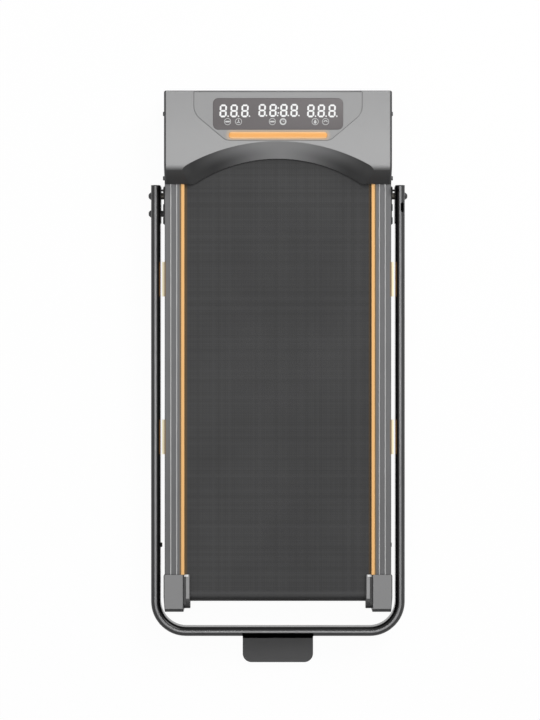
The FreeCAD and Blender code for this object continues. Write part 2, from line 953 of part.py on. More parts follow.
def make_hood_hollow():
    inside = (-half_width + hood_wall, half_width - hood_wall)
    lower = box(inside, (hood_rear_y - overrun, panel_y), (frame_bottom - overrun, edge_arch_z))
    slope = (slope_top_y - hood_rear_y) / (hood_top - slope_low_z)
    ceiling = hood_top - hood_top_wall
    outline = [
        (panel_y, edge_arch_z),
        (panel_y, ceiling),
        (slope_top_y + hood_slope_wall - slope * hood_top_wall, ceiling),
        (hood_rear_y + hood_slope_wall, slope_low_z),
        (hood_rear_y + hood_slope_wall, edge_arch_z),
    ]
    upper = prism_x(outline, inside).cut(make_scoop(hood_slope_wall))
    return [lower, upper]


def rounded_prism_z(outline, radii, z_range):
    """Upright prism whose corners have radii of their own."""
    shape = prism_z(outline, z_range)
    for (x, y), radius in zip(outline, radii):
        corner = [
            edge
            for edge in edges_along(shape, Z_AXIS)
            if math.hypot(edge.Vertexes[0].X - x, edge.Vertexes[0].Y - y) < running_fit
        ]
        if radius:
            shape = shape.makeFillet(radius, corner)
    return shape


def make_console_pocket():
    corner_y = console_front_y - (console_front_y - console_rear_y) * console_side_share
    outline = [
        (console_half, console_front_y),
        (console_half, corner_y),
        (console_rear_half, console_rear_y),
        (-console_rear_half, console_rear_y),
        (-console_half, corner_y),
        (-console_half, console_front_y),
    ]
    side_radii = [0, console_corner_radius, console_rear_radius]
    radii = side_radii + side_radii[::-1]
    return rounded_prism_z(outline, radii, (console_floor, hood_top + overrun))


def window_plate(inset, z_range):
    half = window_half - inset
    y_range = (window_rear_y + inset, window_front_y - inset)
    return rounded_plate_z((-half, half), y_range, z_range, window_radius - inset)


def light_bar_plate(inset, z_range):
    radius = light_bar_width / 2 - inset
    half = light_bar_half - light_bar_width / 2
    y = bar_low_y + light_bar_width / 2
    middle = box((-half, half), (y - radius, y + radius), z_range)
    return fused([middle, rod_z(radius, z_range, -half, y), rod_z(radius, z_range, half, y)])


def make_console_panel(pocket):
    floor = edges_where(pocket, at_height(console_floor))
    rim = Part.Wire(Part.__sortEdges__(floor)).makeOffset2D(-console_seam)
    panel = Part.Face(rim).extrude(V(0, 0, console_thickness))
    through = (console_floor - overrun, hood_top + overrun)
    return panel.cut([window_plate(-lens_fit, through), light_bar_plate(-lens_fit, through)])


def service_plate(margin, y_range):
    x_half, z_half = service_length / 2 + margin, service_height / 2 + margin
    x_range = (service_x - x_half, service_x + x_half)
    z_range = (service_z - z_half, service_z + z_half)
    return rounded_plate_y(x_range, y_range, z_range, service_radius)


def make_hood(pocket):
    hood = make_hood_block().cut([make_scoop(0)] + make_hood_hollow())
    display_hole = window_plate(window_ledge, (hood_top - hood_top_wall - overrun, hood_top))
    service_window = service_plate(0, (panel_y - overrun, front_y + overrun))
    tools = [pocket, display_hole, service_window]
    for hole in hood_screw_holes((wall_x - overrun, half_width + overrun)):
        tools.extend(pair(hole))
    return hood.cut(tools)


def make_led_modules():
    modules = []
    front = window_front_y - window_width * led_module_setback_share
    y_range = (front - window_width * led_module_width_share, front)
    z_range = (hood_top - hood_top_wall, console_floor - led_module_gap)
    for offset_share, length_share in zip(led_module_offset_shares, led_module_length_shares):
        x = window_length * offset_share
        reach = window_length * length_share / 2
        modules.append(box((x - reach, x + reach), y_range, z_range))
    return modules


console_pocket = make_console_pocket()
board_top = hood_top - hood_top_wall
save("motor_hood", make_hood(console_pocket))
save("console_panel", make_console_panel(console_pocket))
save("display_lens", window_plate(0, (console_floor, hood_top)))
save("light_bar", light_bar_plate(0, (console_floor, hood_top)))
save("display_board", window_plate(0, (board_top - board_thickness, board_top)))
save("led_modules", make_led_modules())


# Motor with its cradle, drive belt and pulleys, and the controller box

front_pulley_span = (pulley_left_x, pulley_right_x)
shaft_radius = shaft_diameter / 2


def make_motor_body():
    can = rod_x(motor_diameter / 2, (motor_left_x, motor_right_x), motor_y, motor_z)
    flange_end = motor_right_x + motor_flange_length
    flange = rod_x(motor_flange_diameter / 2, (motor_right_x, flange_end), motor_y, motor_z)
    through = (motor_left_x - overrun, flange_end + overrun)
    bore = rod_x(shaft_radius + running_fit, through, motor_y, motor_z)
    return fused([can, flange]).cut(bore)


def make_cradle():
    x = (motor_left_x + motor_right_x) / 2
    block = box(
        (x - cradle_length / 2, x + cradle_length / 2),
        (motor_y - cradle_width / 2, motor_y + cradle_width / 2),
        (tray_top, tray_top + cradle_height),
    )
    motor_span = (motor_left_x, motor_right_x)
    return block.cut(rod_x(motor_diameter / 2 + running_fit, motor_span, motor_y, motor_z))


def make_roller_pulley():
    """Pulley outside the belt's edge, with a hub that reaches the roller's end."""
    rim = rod_x(roller_pulley_diameter / 2, front_pulley_span, front_roller_y, roller_z)
    hub = rod_x(roller_radius - roller_wall, (roller_half, pulley_left_x), front_roller_y, roller_z)
    bore_span = (roller_half - overrun, pulley_right_x + overrun)
    bore = rod_x(axle_diameter / 2 + running_fit, bore_span, front_roller_y, roller_z)
    return fused([rim, hub]).cut(bore)


def make_controller():
    left = -frame_x + controller_side_gap
    length = motor_left_x - controller_motor_gap - left
    front = front_y - controller_setback
    top = tray_top + controller_height
    body = box((left, left + length), (front - controller_width, front), (tray_top, top))
    pitch = length / controller_fin_count
    gaps = []
    for index in range(1, controller_fin_count):
        x = left + index * pitch
        half = pitch * controller_fin_share / 2
        y_range = (front - controller_width - overrun, front + overrun)
        gaps.append(box((x - half, x + half), y_range, (top - controller_fin_depth, top + overrun)))
    return body.cut(gaps)


drive_belt = belt_loop(
    (pulley_left_x + drive_belt_edge, pulley_right_x - drive_belt_edge),
    front_roller,
    roller_pulley_diameter / 2 + drive_belt_gap,
    (motor_y, motor_z),
    motor_pulley_diameter / 2 + drive_belt_gap,
    drive_belt_thickness,
)
save("motor_body", make_motor_body())
save("motor_cradle", make_cradle())
save("motor_shaft", rod_x(shaft_radius, (motor_left_x - shaft_tail, pulley_right_x), motor_y, motor_z))
save(
    "motor_pulley",
    ring_x(motor_pulley_diameter / 2, shaft_radius + running_fit, front_pulley_span, motor_y, motor_z),
)
save("roller_pulley", make_roller_pulley())
save("drive_belt", drive_belt)
save("controller_box", make_controller())


# Transport wheels on bolts through the frame tubes

def make_wheel():
    span = (wheel_left_x, wheel_right_x)
    wheel = rod_x(wheel_diameter / 2, span, wheel_y, wheel_z)
    wheel = wheel.makeFillet(wheel_groove_radius, wheel.Edges)
    recess_outer = wheel_diameter / 2 - wheel_recess - wheel_groove_radius
    recess_inner = wheel_hub_diameter / 2
    left_recess = (wheel_left_x - overrun, wheel_left_x + wheel_recess)
    right_recess = (wheel_right_x - wheel_recess, wheel_right_x + overrun)
    through = (wheel_left_x - overrun, wheel_right_x + overrun)
    tools = [
        ring_x(recess_outer, recess_inner, left_recess, wheel_y, wheel_z),
        ring_x(recess_outer, recess_inner, right_recess, wheel_y, wheel_z),
        rod_x(wheel_axle_diameter / 2 + running_fit, through, wheel_y, wheel_z),
    ]
    return wheel.cut(tools)


def make_wheel_axle():
    head_end = wheel_left_x - moving_gap
    nut_start = frame_x + frame_tube_wall
    shank = rod_x(wheel_axle_diameter / 2, (head_end, nut_start + axle_nut_height), wheel_y, wheel_z)
    head = hex_x(axle_head_diameter, (head_end - axle_head_height, head_end), wheel_y, wheel_z)
    sleeve = rod_x(axle_head_diameter / 2, (wheel_right_x + moving_gap, frame_x), wheel_y, wheel_z)
    nut = hex_x(axle_head_diameter, (nut_start, nut_start + axle_nut_height), wheel_y, wheel_z)
    return fused([shank, head, sleeve, nut])


wheel = make_wheel()
save("right_wheel", wheel)
save("left_wheel", mirrored(wheel))
save("wheel_axles", pair(make_wheel_axle()))


# Service panel with power inlet, rocker switch and breaker

inlet_x = service_x + inlet_offset
switch_x = service_x + switch_offset
breaker_x = service_x + breaker_offset
rocker_y = panel_y - rocker_sink
rocker_half = switch_length / 2 - switch_wall - moving_gap


def centered_box(x, half_x, y_range, half_z):
    return box((x - half_x, x + half_x), y_range, (service_z - half_z, service_z + half_z))


def make_inlet():
    face = panel_y + inlet_flange_thickness
    floor = face - inlet_cavity_depth
    body = centered_box(inlet_x, inlet_length / 2, (panel_y - inlet_depth, panel_y), inlet_height / 2)
    flange = centered_box(
        inlet_x, inlet_length / 2 + inlet_flange, (panel_y, face), inlet_height / 2 + inlet_flange
    )
    cavity = centered_box(
        inlet_x, inlet_cavity_length / 2, (floor, face + overrun), inlet_cavity_height / 2
    )
    socket = fused([body, flange]).cut(cavity)
    pins = []
    for place in (-inlet_pin_spacing, 0, inlet_pin_spacing):
        y_range = (floor, floor + inlet_pin_length)
        pins.append(centered_box(inlet_x + place, inlet_pin_width / 2, y_range, inlet_pin_height / 2))
    return fused([socket] + pins)


def make_switch_housing():
    body_depth = (panel_y - switch_depth, panel_y)
    body = centered_box(switch_x, switch_length / 2, body_depth, switch_height / 2)
    face = panel_y + switch_flange_thickness
    flange = centered_box(
        switch_x, switch_length / 2 + switch_flange, (panel_y, face), switch_height / 2 + switch_flange
    )
    well = centered_box(
        switch_x,
        switch_length / 2 - switch_wall,
        (panel_y - switch_depth + switch_wall, face + overrun),
        switch_height / 2 - switch_wall,
    )
    pin_half = rocker_half + rocker_pin_length + moving_gap
    pin_span = (switch_x - pin_half, switch_x + pin_half)
    pin_hole = rod_x(rocker_pin_diameter / 2 + running_fit, pin_span, rocker_y, service_z)
    return fused([body, flange]).cut([well, pin_hole])


def make_rocker():
    """Rocker tipped to its off side, on two short pivot pins."""
    y_range = (rocker_y - rocker_depth / 2, rocker_y + rocker_depth / 2)
    body = centered_box(switch_x, rocker_half, y_range, rocker_height / 2)
    body = rounded_along(body, X_AXIS, rocker_edge_radius)
    pin_half = rocker_half + rocker_pin_length
    pin = rod_x(rocker_pin_diameter / 2, (switch_x - pin_half, switch_x + pin_half), rocker_y, service_z)
    rocker = fused([body, pin])
    rocker.rotate(V(switch_x, rocker_y, service_z), X_AXIS, rocker_angle)
    return rocker


def make_breaker():
    face = panel_y + breaker_collar_thickness
    body = rod_y(breaker_diameter / 2, (panel_y - breaker_depth, panel_y), breaker_x, service_z)
    collar = rod_y(breaker_collar_diameter / 2, (panel_y, face), breaker_x, service_z)
    bore_depth = (face - breaker_bore_depth, face + overrun)
    bore = rod_y(button_diameter / 2 + running_fit, bore_depth, breaker_x, service_z)
    return fused([body, collar]).cut(bore)


def make_breaker_button():
    tip = panel_y + breaker_collar_thickness + button_proud
    button = rod_y(button_diameter / 2, (tip - button_length, tip), breaker_x, service_z)
    front_edge = edges_where(button, lambda edge: abs(edge.CenterOfMass.y - tip) < running_fit)
    return button.makeFillet(button_edge_radius, front_edge)


def make_service_panel():
    through = (panel_y - service_thickness - overrun, panel_y + overrun)
    plate = service_plate(service_lap, (panel_y - service_thickness, panel_y))
    holes = [
        centered_box(
            inlet_x, inlet_length / 2 + screw_clearance, through, inlet_height / 2 + screw_clearance
        ),
        centered_box(
            switch_x, switch_length / 2 + screw_clearance, through, switch_height / 2 + screw_clearance
        ),
        rod_y(breaker_diameter / 2 + screw_clearance, through, breaker_x, service_z),
    ]
    return plate.cut(holes)


save("service_panel", make_service_panel())
save("power_inlet", make_inlet())
save("switch_housing", make_switch_housing())
save("power_rocker", make_rocker())
save("breaker_body", make_breaker())
save("breaker_button", make_breaker_button())


# Handrail: one bent flat-oval tube round the pad, hinged near the hood

plug_front_y = hood_rear_y - tube_end_behind_hood
tube_front_y = plug_front_y - plug_flange
bush_radius = bolt_diameter / 2 + running_fit + bush_wall
stop_bolt_y = pivot_y - stop_bolt_reach


def oval_face(inset, center, across):
    """Flat-oval section of the handrail, its wide side along Z."""
    side = across * (tube_width / 2 - inset)
    crown = V(0, 0, tube_width / 2 - inset)
    rise = V(0, 0, tube_flat / 2)
    edges = [
        Part.makeLine(center + side - rise, center + side + rise),
        Part.Arc(center + side + rise, center + rise + crown, center - side + rise).toShape(),
        Part.makeLine(center - side + rise, center - side - rise),
        Part.Arc(center - side - rise, center - rise - crown, center + side - rise).toShape(),
    ]
    return Part.Face(Part.Wire(edges))


def handrail_path(inset, end_extra):
    """The whole handrail drawn in by an inset, its two open ends lengthened."""
    bend_y = bar_y + tube_bend_radius
    bend_x = tube_x - tube_bend_radius
    section = oval_face(inset, V(tube_x, bend_y, pivot_z), X_AXIS)
    leg = section.extrude(V(0, tube_front_y + end_extra - bend_y, 0))
    bend = section.revolve(V(bend_x, bend_y, pivot_z), -Z_AXIS, 90)
    bar = oval_face(inset, V(-bend_x, bar_y, pivot_z), Y_AXIS).extrude(V(2 * bend_x, 0, 0))
    return fused(pair(leg) + pair(bend) + [bar])


def oblong_z(x, y, width, length, z_range):
    half = length / 2 - width / 2
    middle = box((x - width / 2, x + width / 2), (y - half, y + half), z_range)
    ends = [rod_z(width / 2, z_range, x, end_y) for end_y in (y - half, y + half)]
    return fused([middle] + ends)


def holder_screw_holes(radius, z_range):
    return [rod_z(radius, z_range, x, bar_y) for x in (-holder_screw_offset, holder_screw_offset)]


def make_handrail_tube():
    tube = handrail_path(0, 0).cut(handrail_path(tube_wall, overrun))
    across = (tube_inner_x - overrun, tube_outer_x + overrun)
    slot_y = pivot_y - slot_behind_pivot
    slot_z = (pivot_z, tube_top + overrun)
    slot = oblong_z(tube_x + slot_outset, slot_y, slot_width, slot_length, slot_z)
    stop_hole = mirrored(rod_x(bolt_diameter / 2 + screw_clearance, across, stop_bolt_y, pivot_z))
    tools = pair(rod_x(bush_radius + screw_clearance, across, pivot_y, pivot_z)) + [slot, stop_hole]
    screw_radius = holder_screw_diameter / 2 + screw_clearance
    tools.extend(holder_screw_holes(screw_radius, (tube_bottom - overrun, pivot_z)))
    return tube.cut(tools)


def make_end_plug():
    center = V(tube_x, tube_front_y, pivot_z)
    flange = oval_face(0, center, X_AXIS).extrude(V(0, plug_flange, 0))
    insert = oval_face(tube_wall + plug_fit, center, X_AXIS).extrude(V(0, -plug_depth, 0))
    return fused([flange, insert])


def make_hinge_plate():
    half = tube_flat / 2 - hinge_plate_margin
    plate = box(
        (hinge_plate_x, tube_inner_x),
        (pivot_y - hinge_plate_rear_reach, tube_front_y),
        (pivot_z - half, pivot_z + half),
    )
    plate = rounded_along(plate, X_AXIS, hinge_plate_radius)
    across = (hinge_plate_x - overrun, tube_inner_x + overrun)
    return plate.cut(rod_x(bush_radius + screw_clearance, across, pivot_y, pivot_z))


def make_bush():
    """Flanged bush that the handrail turns on, round the pivot bolt."""
    face = bracket_x + moving_gap
    flange = rod_x(bush_flange_diameter / 2, (face, hinge_plate_x), pivot_y, pivot_z)
    sleeve = rod_x(bush_radius, (hinge_plate_x, tube_outer_x), pivot_y, pivot_z)
    through = (face - overrun, tube_outer_x + overrun)
    bore = rod_x(bolt_diameter / 2 + running_fit, through, pivot_y, pivot_z)
    return fused([flange, sleeve]).cut(bore)


def domed_head(base_x, y):
    """Round bolt head with a hex socket, on the plane at base_x."""
    tip_x = base_x + bolt_head_height
    base_radius = bolt_dome_diameter / 2
    ball_radius = (bolt_head_height**2 + base_radius**2) / (2 * bolt_head_height)
    ball = Part.makeSphere(ball_radius, V(tip_x - ball_radius, y, pivot_z))
    dome = ball.common(rod_x(base_radius, (base_x, tip_x), y, pivot_z))
    return dome.cut(hex_x(bolt_socket_width, (tip_x - bolt_socket_depth, tip_x + overrun), y, pivot_z))


def bolt_with_washer(seat_x, tail_x, y):
    """Domed bolt along X whose washer sits on the plane at seat_x."""
    washer_end = seat_x + washer_thickness
    shank = rod_x(bolt_diameter / 2, (tail_x, washer_end), y, pivot_z)
    washer = rod_x(washer_diameter / 2, (seat_x, washer_end), y, pivot_z)
    return [shank, washer, domed_head(washer_end, y)]


def make_pivot_bolt():
    nut_end = wall_x - frame_tube_wall
    nut_start = nut_end - bolt_nut_height
    nut = hex_x(bolt_head_width, (nut_start, nut_end), pivot_y, pivot_z)
    return fused(bolt_with_washer(tube_outer_x + moving_gap, nut_start, pivot_y) + [nut])


def make_stop_bolt():
    """Bolt through the left leg; its thin nut meets the bracket's tab when the handrail is up."""
    nut_start = bracket_x + moving_gap
    nut = hex_x(bolt_head_width, (nut_start, hinge_plate_x), stop_bolt_y, pivot_z)
    return mirrored(fused(bolt_with_washer(tube_outer_x, nut_start, stop_bolt_y) + [nut]))


stop_hole_left = mirrored(
    rod_x(
        bolt_diameter / 2 + screw_clearance,
        (hinge_plate_x - overrun, tube_inner_x + overrun),
        stop_bolt_y,
        pivot_z,
    )
)
hinge_plate = make_hinge_plate()
save("handrail_tube", make_handrail_tube())
save("handrail_end_plugs", pair(make_end_plug()))
save("hinge_plates", [hinge_plate, mirrored(hinge_plate).cut(stop_hole_left)])
save("pivot_bushes", pair(make_bush()))
save("stop_bolt", make_stop_bolt())
save("pivot_bolts", pair(make_pivot_bolt()))


# Hinge brackets on the rails, their bolts, the handrail's bumpers and the hood's screws

def make_hinge_bracket():
    plate = box(
        (half_width, bracket_x),
        (pivot_y - bracket_rear_reach, pivot_y + bracket_front_reach),
        (pivot_z - bracket_half_height, pivot_z + bracket_half_height),
    )
    plate = rounded_along(plate, X_AXIS, bracket_corner_radius)
    tab_rear = pivot_y + bolt_head_width / math.sqrt(3) + moving_gap
    tab_top = pivot_z + stop_bolt_reach + stop_tab_rise
    neck = box((half_width, bracket_x), (tab_rear, tab_rear + stop_neck_length), (pivot_z, tab_top))
    tab = box(
        (bracket_x, hinge_plate_x - moving_gap),
        (tab_rear, tab_rear + stop_tab_length),
        (pivot_z + stop_bolt_reach - stop_tab_rise, tab_top),
    )
    bracket = fused([plate, neck, tab])
    return drilled(bracket, side_holes((half_width - overrun, bracket_x + overrun)))


def make_bracket_bolts():
    bolts = []
    tail = wall_x - frame_tube_wall - bracket_bolt_tail
    for y, z in bracket_bolt_places:
        shank = rod_x(bracket_bolt_diameter / 2, (tail, bracket_x), y, z)
        head_span = (bracket_x, bracket_x + bracket_bolt_head_height)
        head = rod_x(bracket_bolt_head_diameter / 2, head_span, y, z)
        bolts.extend(pair(fused([shank, head])))
    return bolts


def make_bumper(base_x, tip_x):
    """Round rubber button stuck on an upright face, rounded at its tip."""
    y = cap_front_y + bumper_ahead_of_cap
    button = rod_x(bumper_diameter / 2, (base_x, tip_x), y, pivot_z)
    rim = edges_where(button, lambda edge: abs(edge.CenterOfMass.x - tip_x) < running_fit)
    return button.makeFillet(bumper_edge_radius, rim)


def make_hood_screws():
    screws = []
    for y, z in hood_screw_places:
        tail = wall_x - frame_tube_wall - hood_screw_tail
        shank = rod_x(hood_screw_diameter / 2, (tail, half_width), y, z)
        head_span = (half_width, half_width + hood_screw_head_height)
        head = rod_x(hood_screw_head_diameter / 2, head_span, y, z)
        screws.extend(pair(fused([shank, head])))
    return screws


save("hinge_brackets", pair(make_hinge_bracket()))
save("bracket_bolts", make_bracket_bolts())
save("rail_bumper", make_bumper(half_width, half_width + rail_bumper_height))
save("tube_bumper", make_bumper(-tube_inner_x, tube_bumper_height - tube_inner_x))
save("hood_screws", make_hood_screws())


# Phone holder: plate on the underside of the crossbar, which faces the user when it is up

holder_bottom = tube_bottom - holder_thickness
holder_front_y = bar_rear_y + holder_lap
holder_half = holder_width / 2


def make_phone_holder():
    outline = [
        (holder_half, holder_front_y),
        (holder_half, holder_rear_y),
        (-holder_half, holder_rear_y),
        (-holder_half, holder_front_y),
    ]
    plate = rounded_prism_z(outline, [0, holder_radius, holder_radius, 0], (holder_bottom, tube_bottom))
    plate = plate.makeFillet(holder_edge_radius, edges_where(plate, at_height(tube_bottom)))
    saddle = box(
        (-saddle_width / 2, saddle_width / 2),
        (bar_rear_y, holder_front_y),
        (holder_bottom, tube_bottom + saddle_height),
    )
    rib = box(
        (-holder_half, holder_half),
        (bar_rear_y - holder_rib_length, bar_y),
        (holder_bottom, tube_bottom + holder_rib_height),
    )
    bar_end = oval_face(-saddle_fit, V(-saddle_width, bar_y, pivot_z), Y_AXIS)
    bar_room = bar_end.extrude(V(2 * saddle_width, 0, 0))
    lip_bottom_z = holder_bottom - ledge_depth
    ledge = box(
        (-holder_half, holder_half),
        (holder_front_y - ledge_thickness, holder_front_y),
        (lip_bottom_z, tube_bottom),
    )
    lip = box(
        (-holder_half, holder_half),
        (holder_front_y - ledge_lip, holder_front_y),
        (lip_bottom_z, lip_bottom_z + ledge_thickness),
    )
    holder = fused([plate, saddle, rib, ledge, lip]).cut(bar_room)
    shank = holder_screw_diameter / 2 + screw_clearance
    head = holder_screw_head_diameter / 2 + screw_clearance
    tools = holder_screw_holes(shank, (holder_bottom, tube_bottom + saddle_height + overrun))
    tools += holder_screw_holes(head, (holder_bottom, holder_bottom + holder_screw_head_height))
    return holder.cut(tools)


def make_holder_screws():
    screws = []
    neck = holder_bottom + holder_screw_head_height
    tip = tube_bottom + tube_wall + holder_screw_tail
    heads = holder_screw_holes(holder_screw_head_diameter / 2, (holder_bottom, neck))
    shanks = holder_screw_holes(holder_screw_diameter / 2, (neck, tip))
    for head, shank in zip(heads, shanks):
        screws.append(fused([head, shank]))
    return screws


def make_phone_pad():
    half = holder_half - pad_inset
    y_range = (holder_rear_y + pad_inset, holder_rear_y + pad_inset + phone_pad_length)
    return rounded_plate_z(
        (-half, half), y_range, (holder_bottom - phone_pad_thickness, holder_bottom), phone_pad_radius
    )


save("phone_holder", make_phone_holder())
save("holder_screws", make_holder_screws())
save("phone_pad", make_phone_pad())
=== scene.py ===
import json
import math

import bmesh
import bpy
from mathutils import Matrix, Vector


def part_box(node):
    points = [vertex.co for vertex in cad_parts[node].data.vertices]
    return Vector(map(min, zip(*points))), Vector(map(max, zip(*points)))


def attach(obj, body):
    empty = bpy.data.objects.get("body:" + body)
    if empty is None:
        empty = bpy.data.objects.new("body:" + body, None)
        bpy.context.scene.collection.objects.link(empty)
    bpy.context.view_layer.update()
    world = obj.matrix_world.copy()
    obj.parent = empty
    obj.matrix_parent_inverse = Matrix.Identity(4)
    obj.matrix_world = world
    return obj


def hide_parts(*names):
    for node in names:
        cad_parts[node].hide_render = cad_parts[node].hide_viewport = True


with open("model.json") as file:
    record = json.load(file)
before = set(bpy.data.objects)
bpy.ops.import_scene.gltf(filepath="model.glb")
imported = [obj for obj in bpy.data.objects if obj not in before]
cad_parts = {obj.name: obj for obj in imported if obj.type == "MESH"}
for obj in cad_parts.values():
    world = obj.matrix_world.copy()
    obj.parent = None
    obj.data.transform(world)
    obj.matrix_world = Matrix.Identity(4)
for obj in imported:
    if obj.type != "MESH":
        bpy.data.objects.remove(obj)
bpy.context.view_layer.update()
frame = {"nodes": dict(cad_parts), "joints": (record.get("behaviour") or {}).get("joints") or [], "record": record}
scene = bpy.context.scene
scene.view_settings.view_transform = "Standard"
MM = 0.001


# Places of the pieces that finishes and meshes are set out from

bar_low, bar_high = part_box("light_bar")
bar_radius = (bar_high.y - bar_low.y) / 2
bar_middle_y = (bar_high.y + bar_low.y) / 2
hood_low, hood_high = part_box("motor_hood")
cap_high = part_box("right_end_cap")[1]
guard_low, guard_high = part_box("roller_guards")
holder_low, holder_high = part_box("phone_holder")
tube_low, tube_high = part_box("handrail_tube")
tube_half_width = 10 * MM
tube_bend_radius = 65 * MM
belt_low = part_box("walking_belt")[0]
trim_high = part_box("trim_strips")[1]
trim_width = 6.6 * MM
ridge_places = (229.0 * MM, 216.4 * MM)
accent_low, accent_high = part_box("side_accents")
accent_length = 73.5 * MM
accent_root = accent_high.x - 6 * MM
lens_low, lens_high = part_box("display_lens")


# Camera straight above the pad

camera_data = bpy.data.cameras.new("camera")
camera_data.sensor_fit = "VERTICAL"
camera_data.sensor_height = 36.0
camera_data.lens = 115.2
camera_data.clip_end = 60.0
camera = bpy.data.objects.new("camera", camera_data)
camera.location = (-0.017, 0.0407, 5.0)
scene.collection.objects.link(camera)
scene.camera = camera


# Helpers for shader nodes

def add(tree, kind, values=None, **settings):
    """New shader node with its settings and the values of its sockets."""
    made = tree.nodes.new(kind)
    for name, value in settings.items():
        setattr(made, name, value)
    for name, value in (values or {}).items():
        made.inputs[name].default_value = value
    return made


def math_node(tree, operation, *operands):
    """Math node whose operands are numbers or sockets; returns its result."""
    made = add(tree, "ShaderNodeMath", operation=operation)
    for place, operand in enumerate(operands):
        if isinstance(operand, (int, float)):
            made.inputs[place].default_value = operand
        else:
            tree.links.new(operand, made.inputs[place])
    return made.outputs[0]


def ramp(tree, value, low, high, to_low, to_high):
    """Smooth step of a socket's value from one range to another."""
    made = add(
        tree,
        "ShaderNodeMapRange",
        {"From Min": low, "From Max": high, "To Min": to_low, "To Max": to_high},
        interpolation_type="SMOOTHSTEP",
    )
    tree.links.new(value, made.inputs["Value"])
    return made.outputs["Result"]


def tint(tree, factor, under, over):
    """Mix of two colours, each a socket or three numbers."""
    made = add(tree, "ShaderNodeMix", data_type="RGBA")
    factor_place, under_place, over_place, colour_out = 0, 6, 7, 2
    tree.links.new(factor, made.inputs[factor_place])
    for place, colour in ((under_place, under), (over_place, over)):
        if isinstance(colour, tuple):
            made.inputs[place].default_value = (*colour, 1.0)
        else:
            tree.links.new(colour, made.inputs[place])
    return made.outputs[colour_out]


def diagonal(tree, first, second):
    """Length of the diagonal of two sockets' values."""
    squares = [math_node(tree, "MULTIPLY", value, value) for value in (first, second)]
    return math_node(tree, "SQRT", math_node(tree, "ADD", *squares))


def scaled(colour, share):
    """Colour made lighter or darker, held at one."""
    return tuple(min(channel * share, 1.0) for channel in colour)


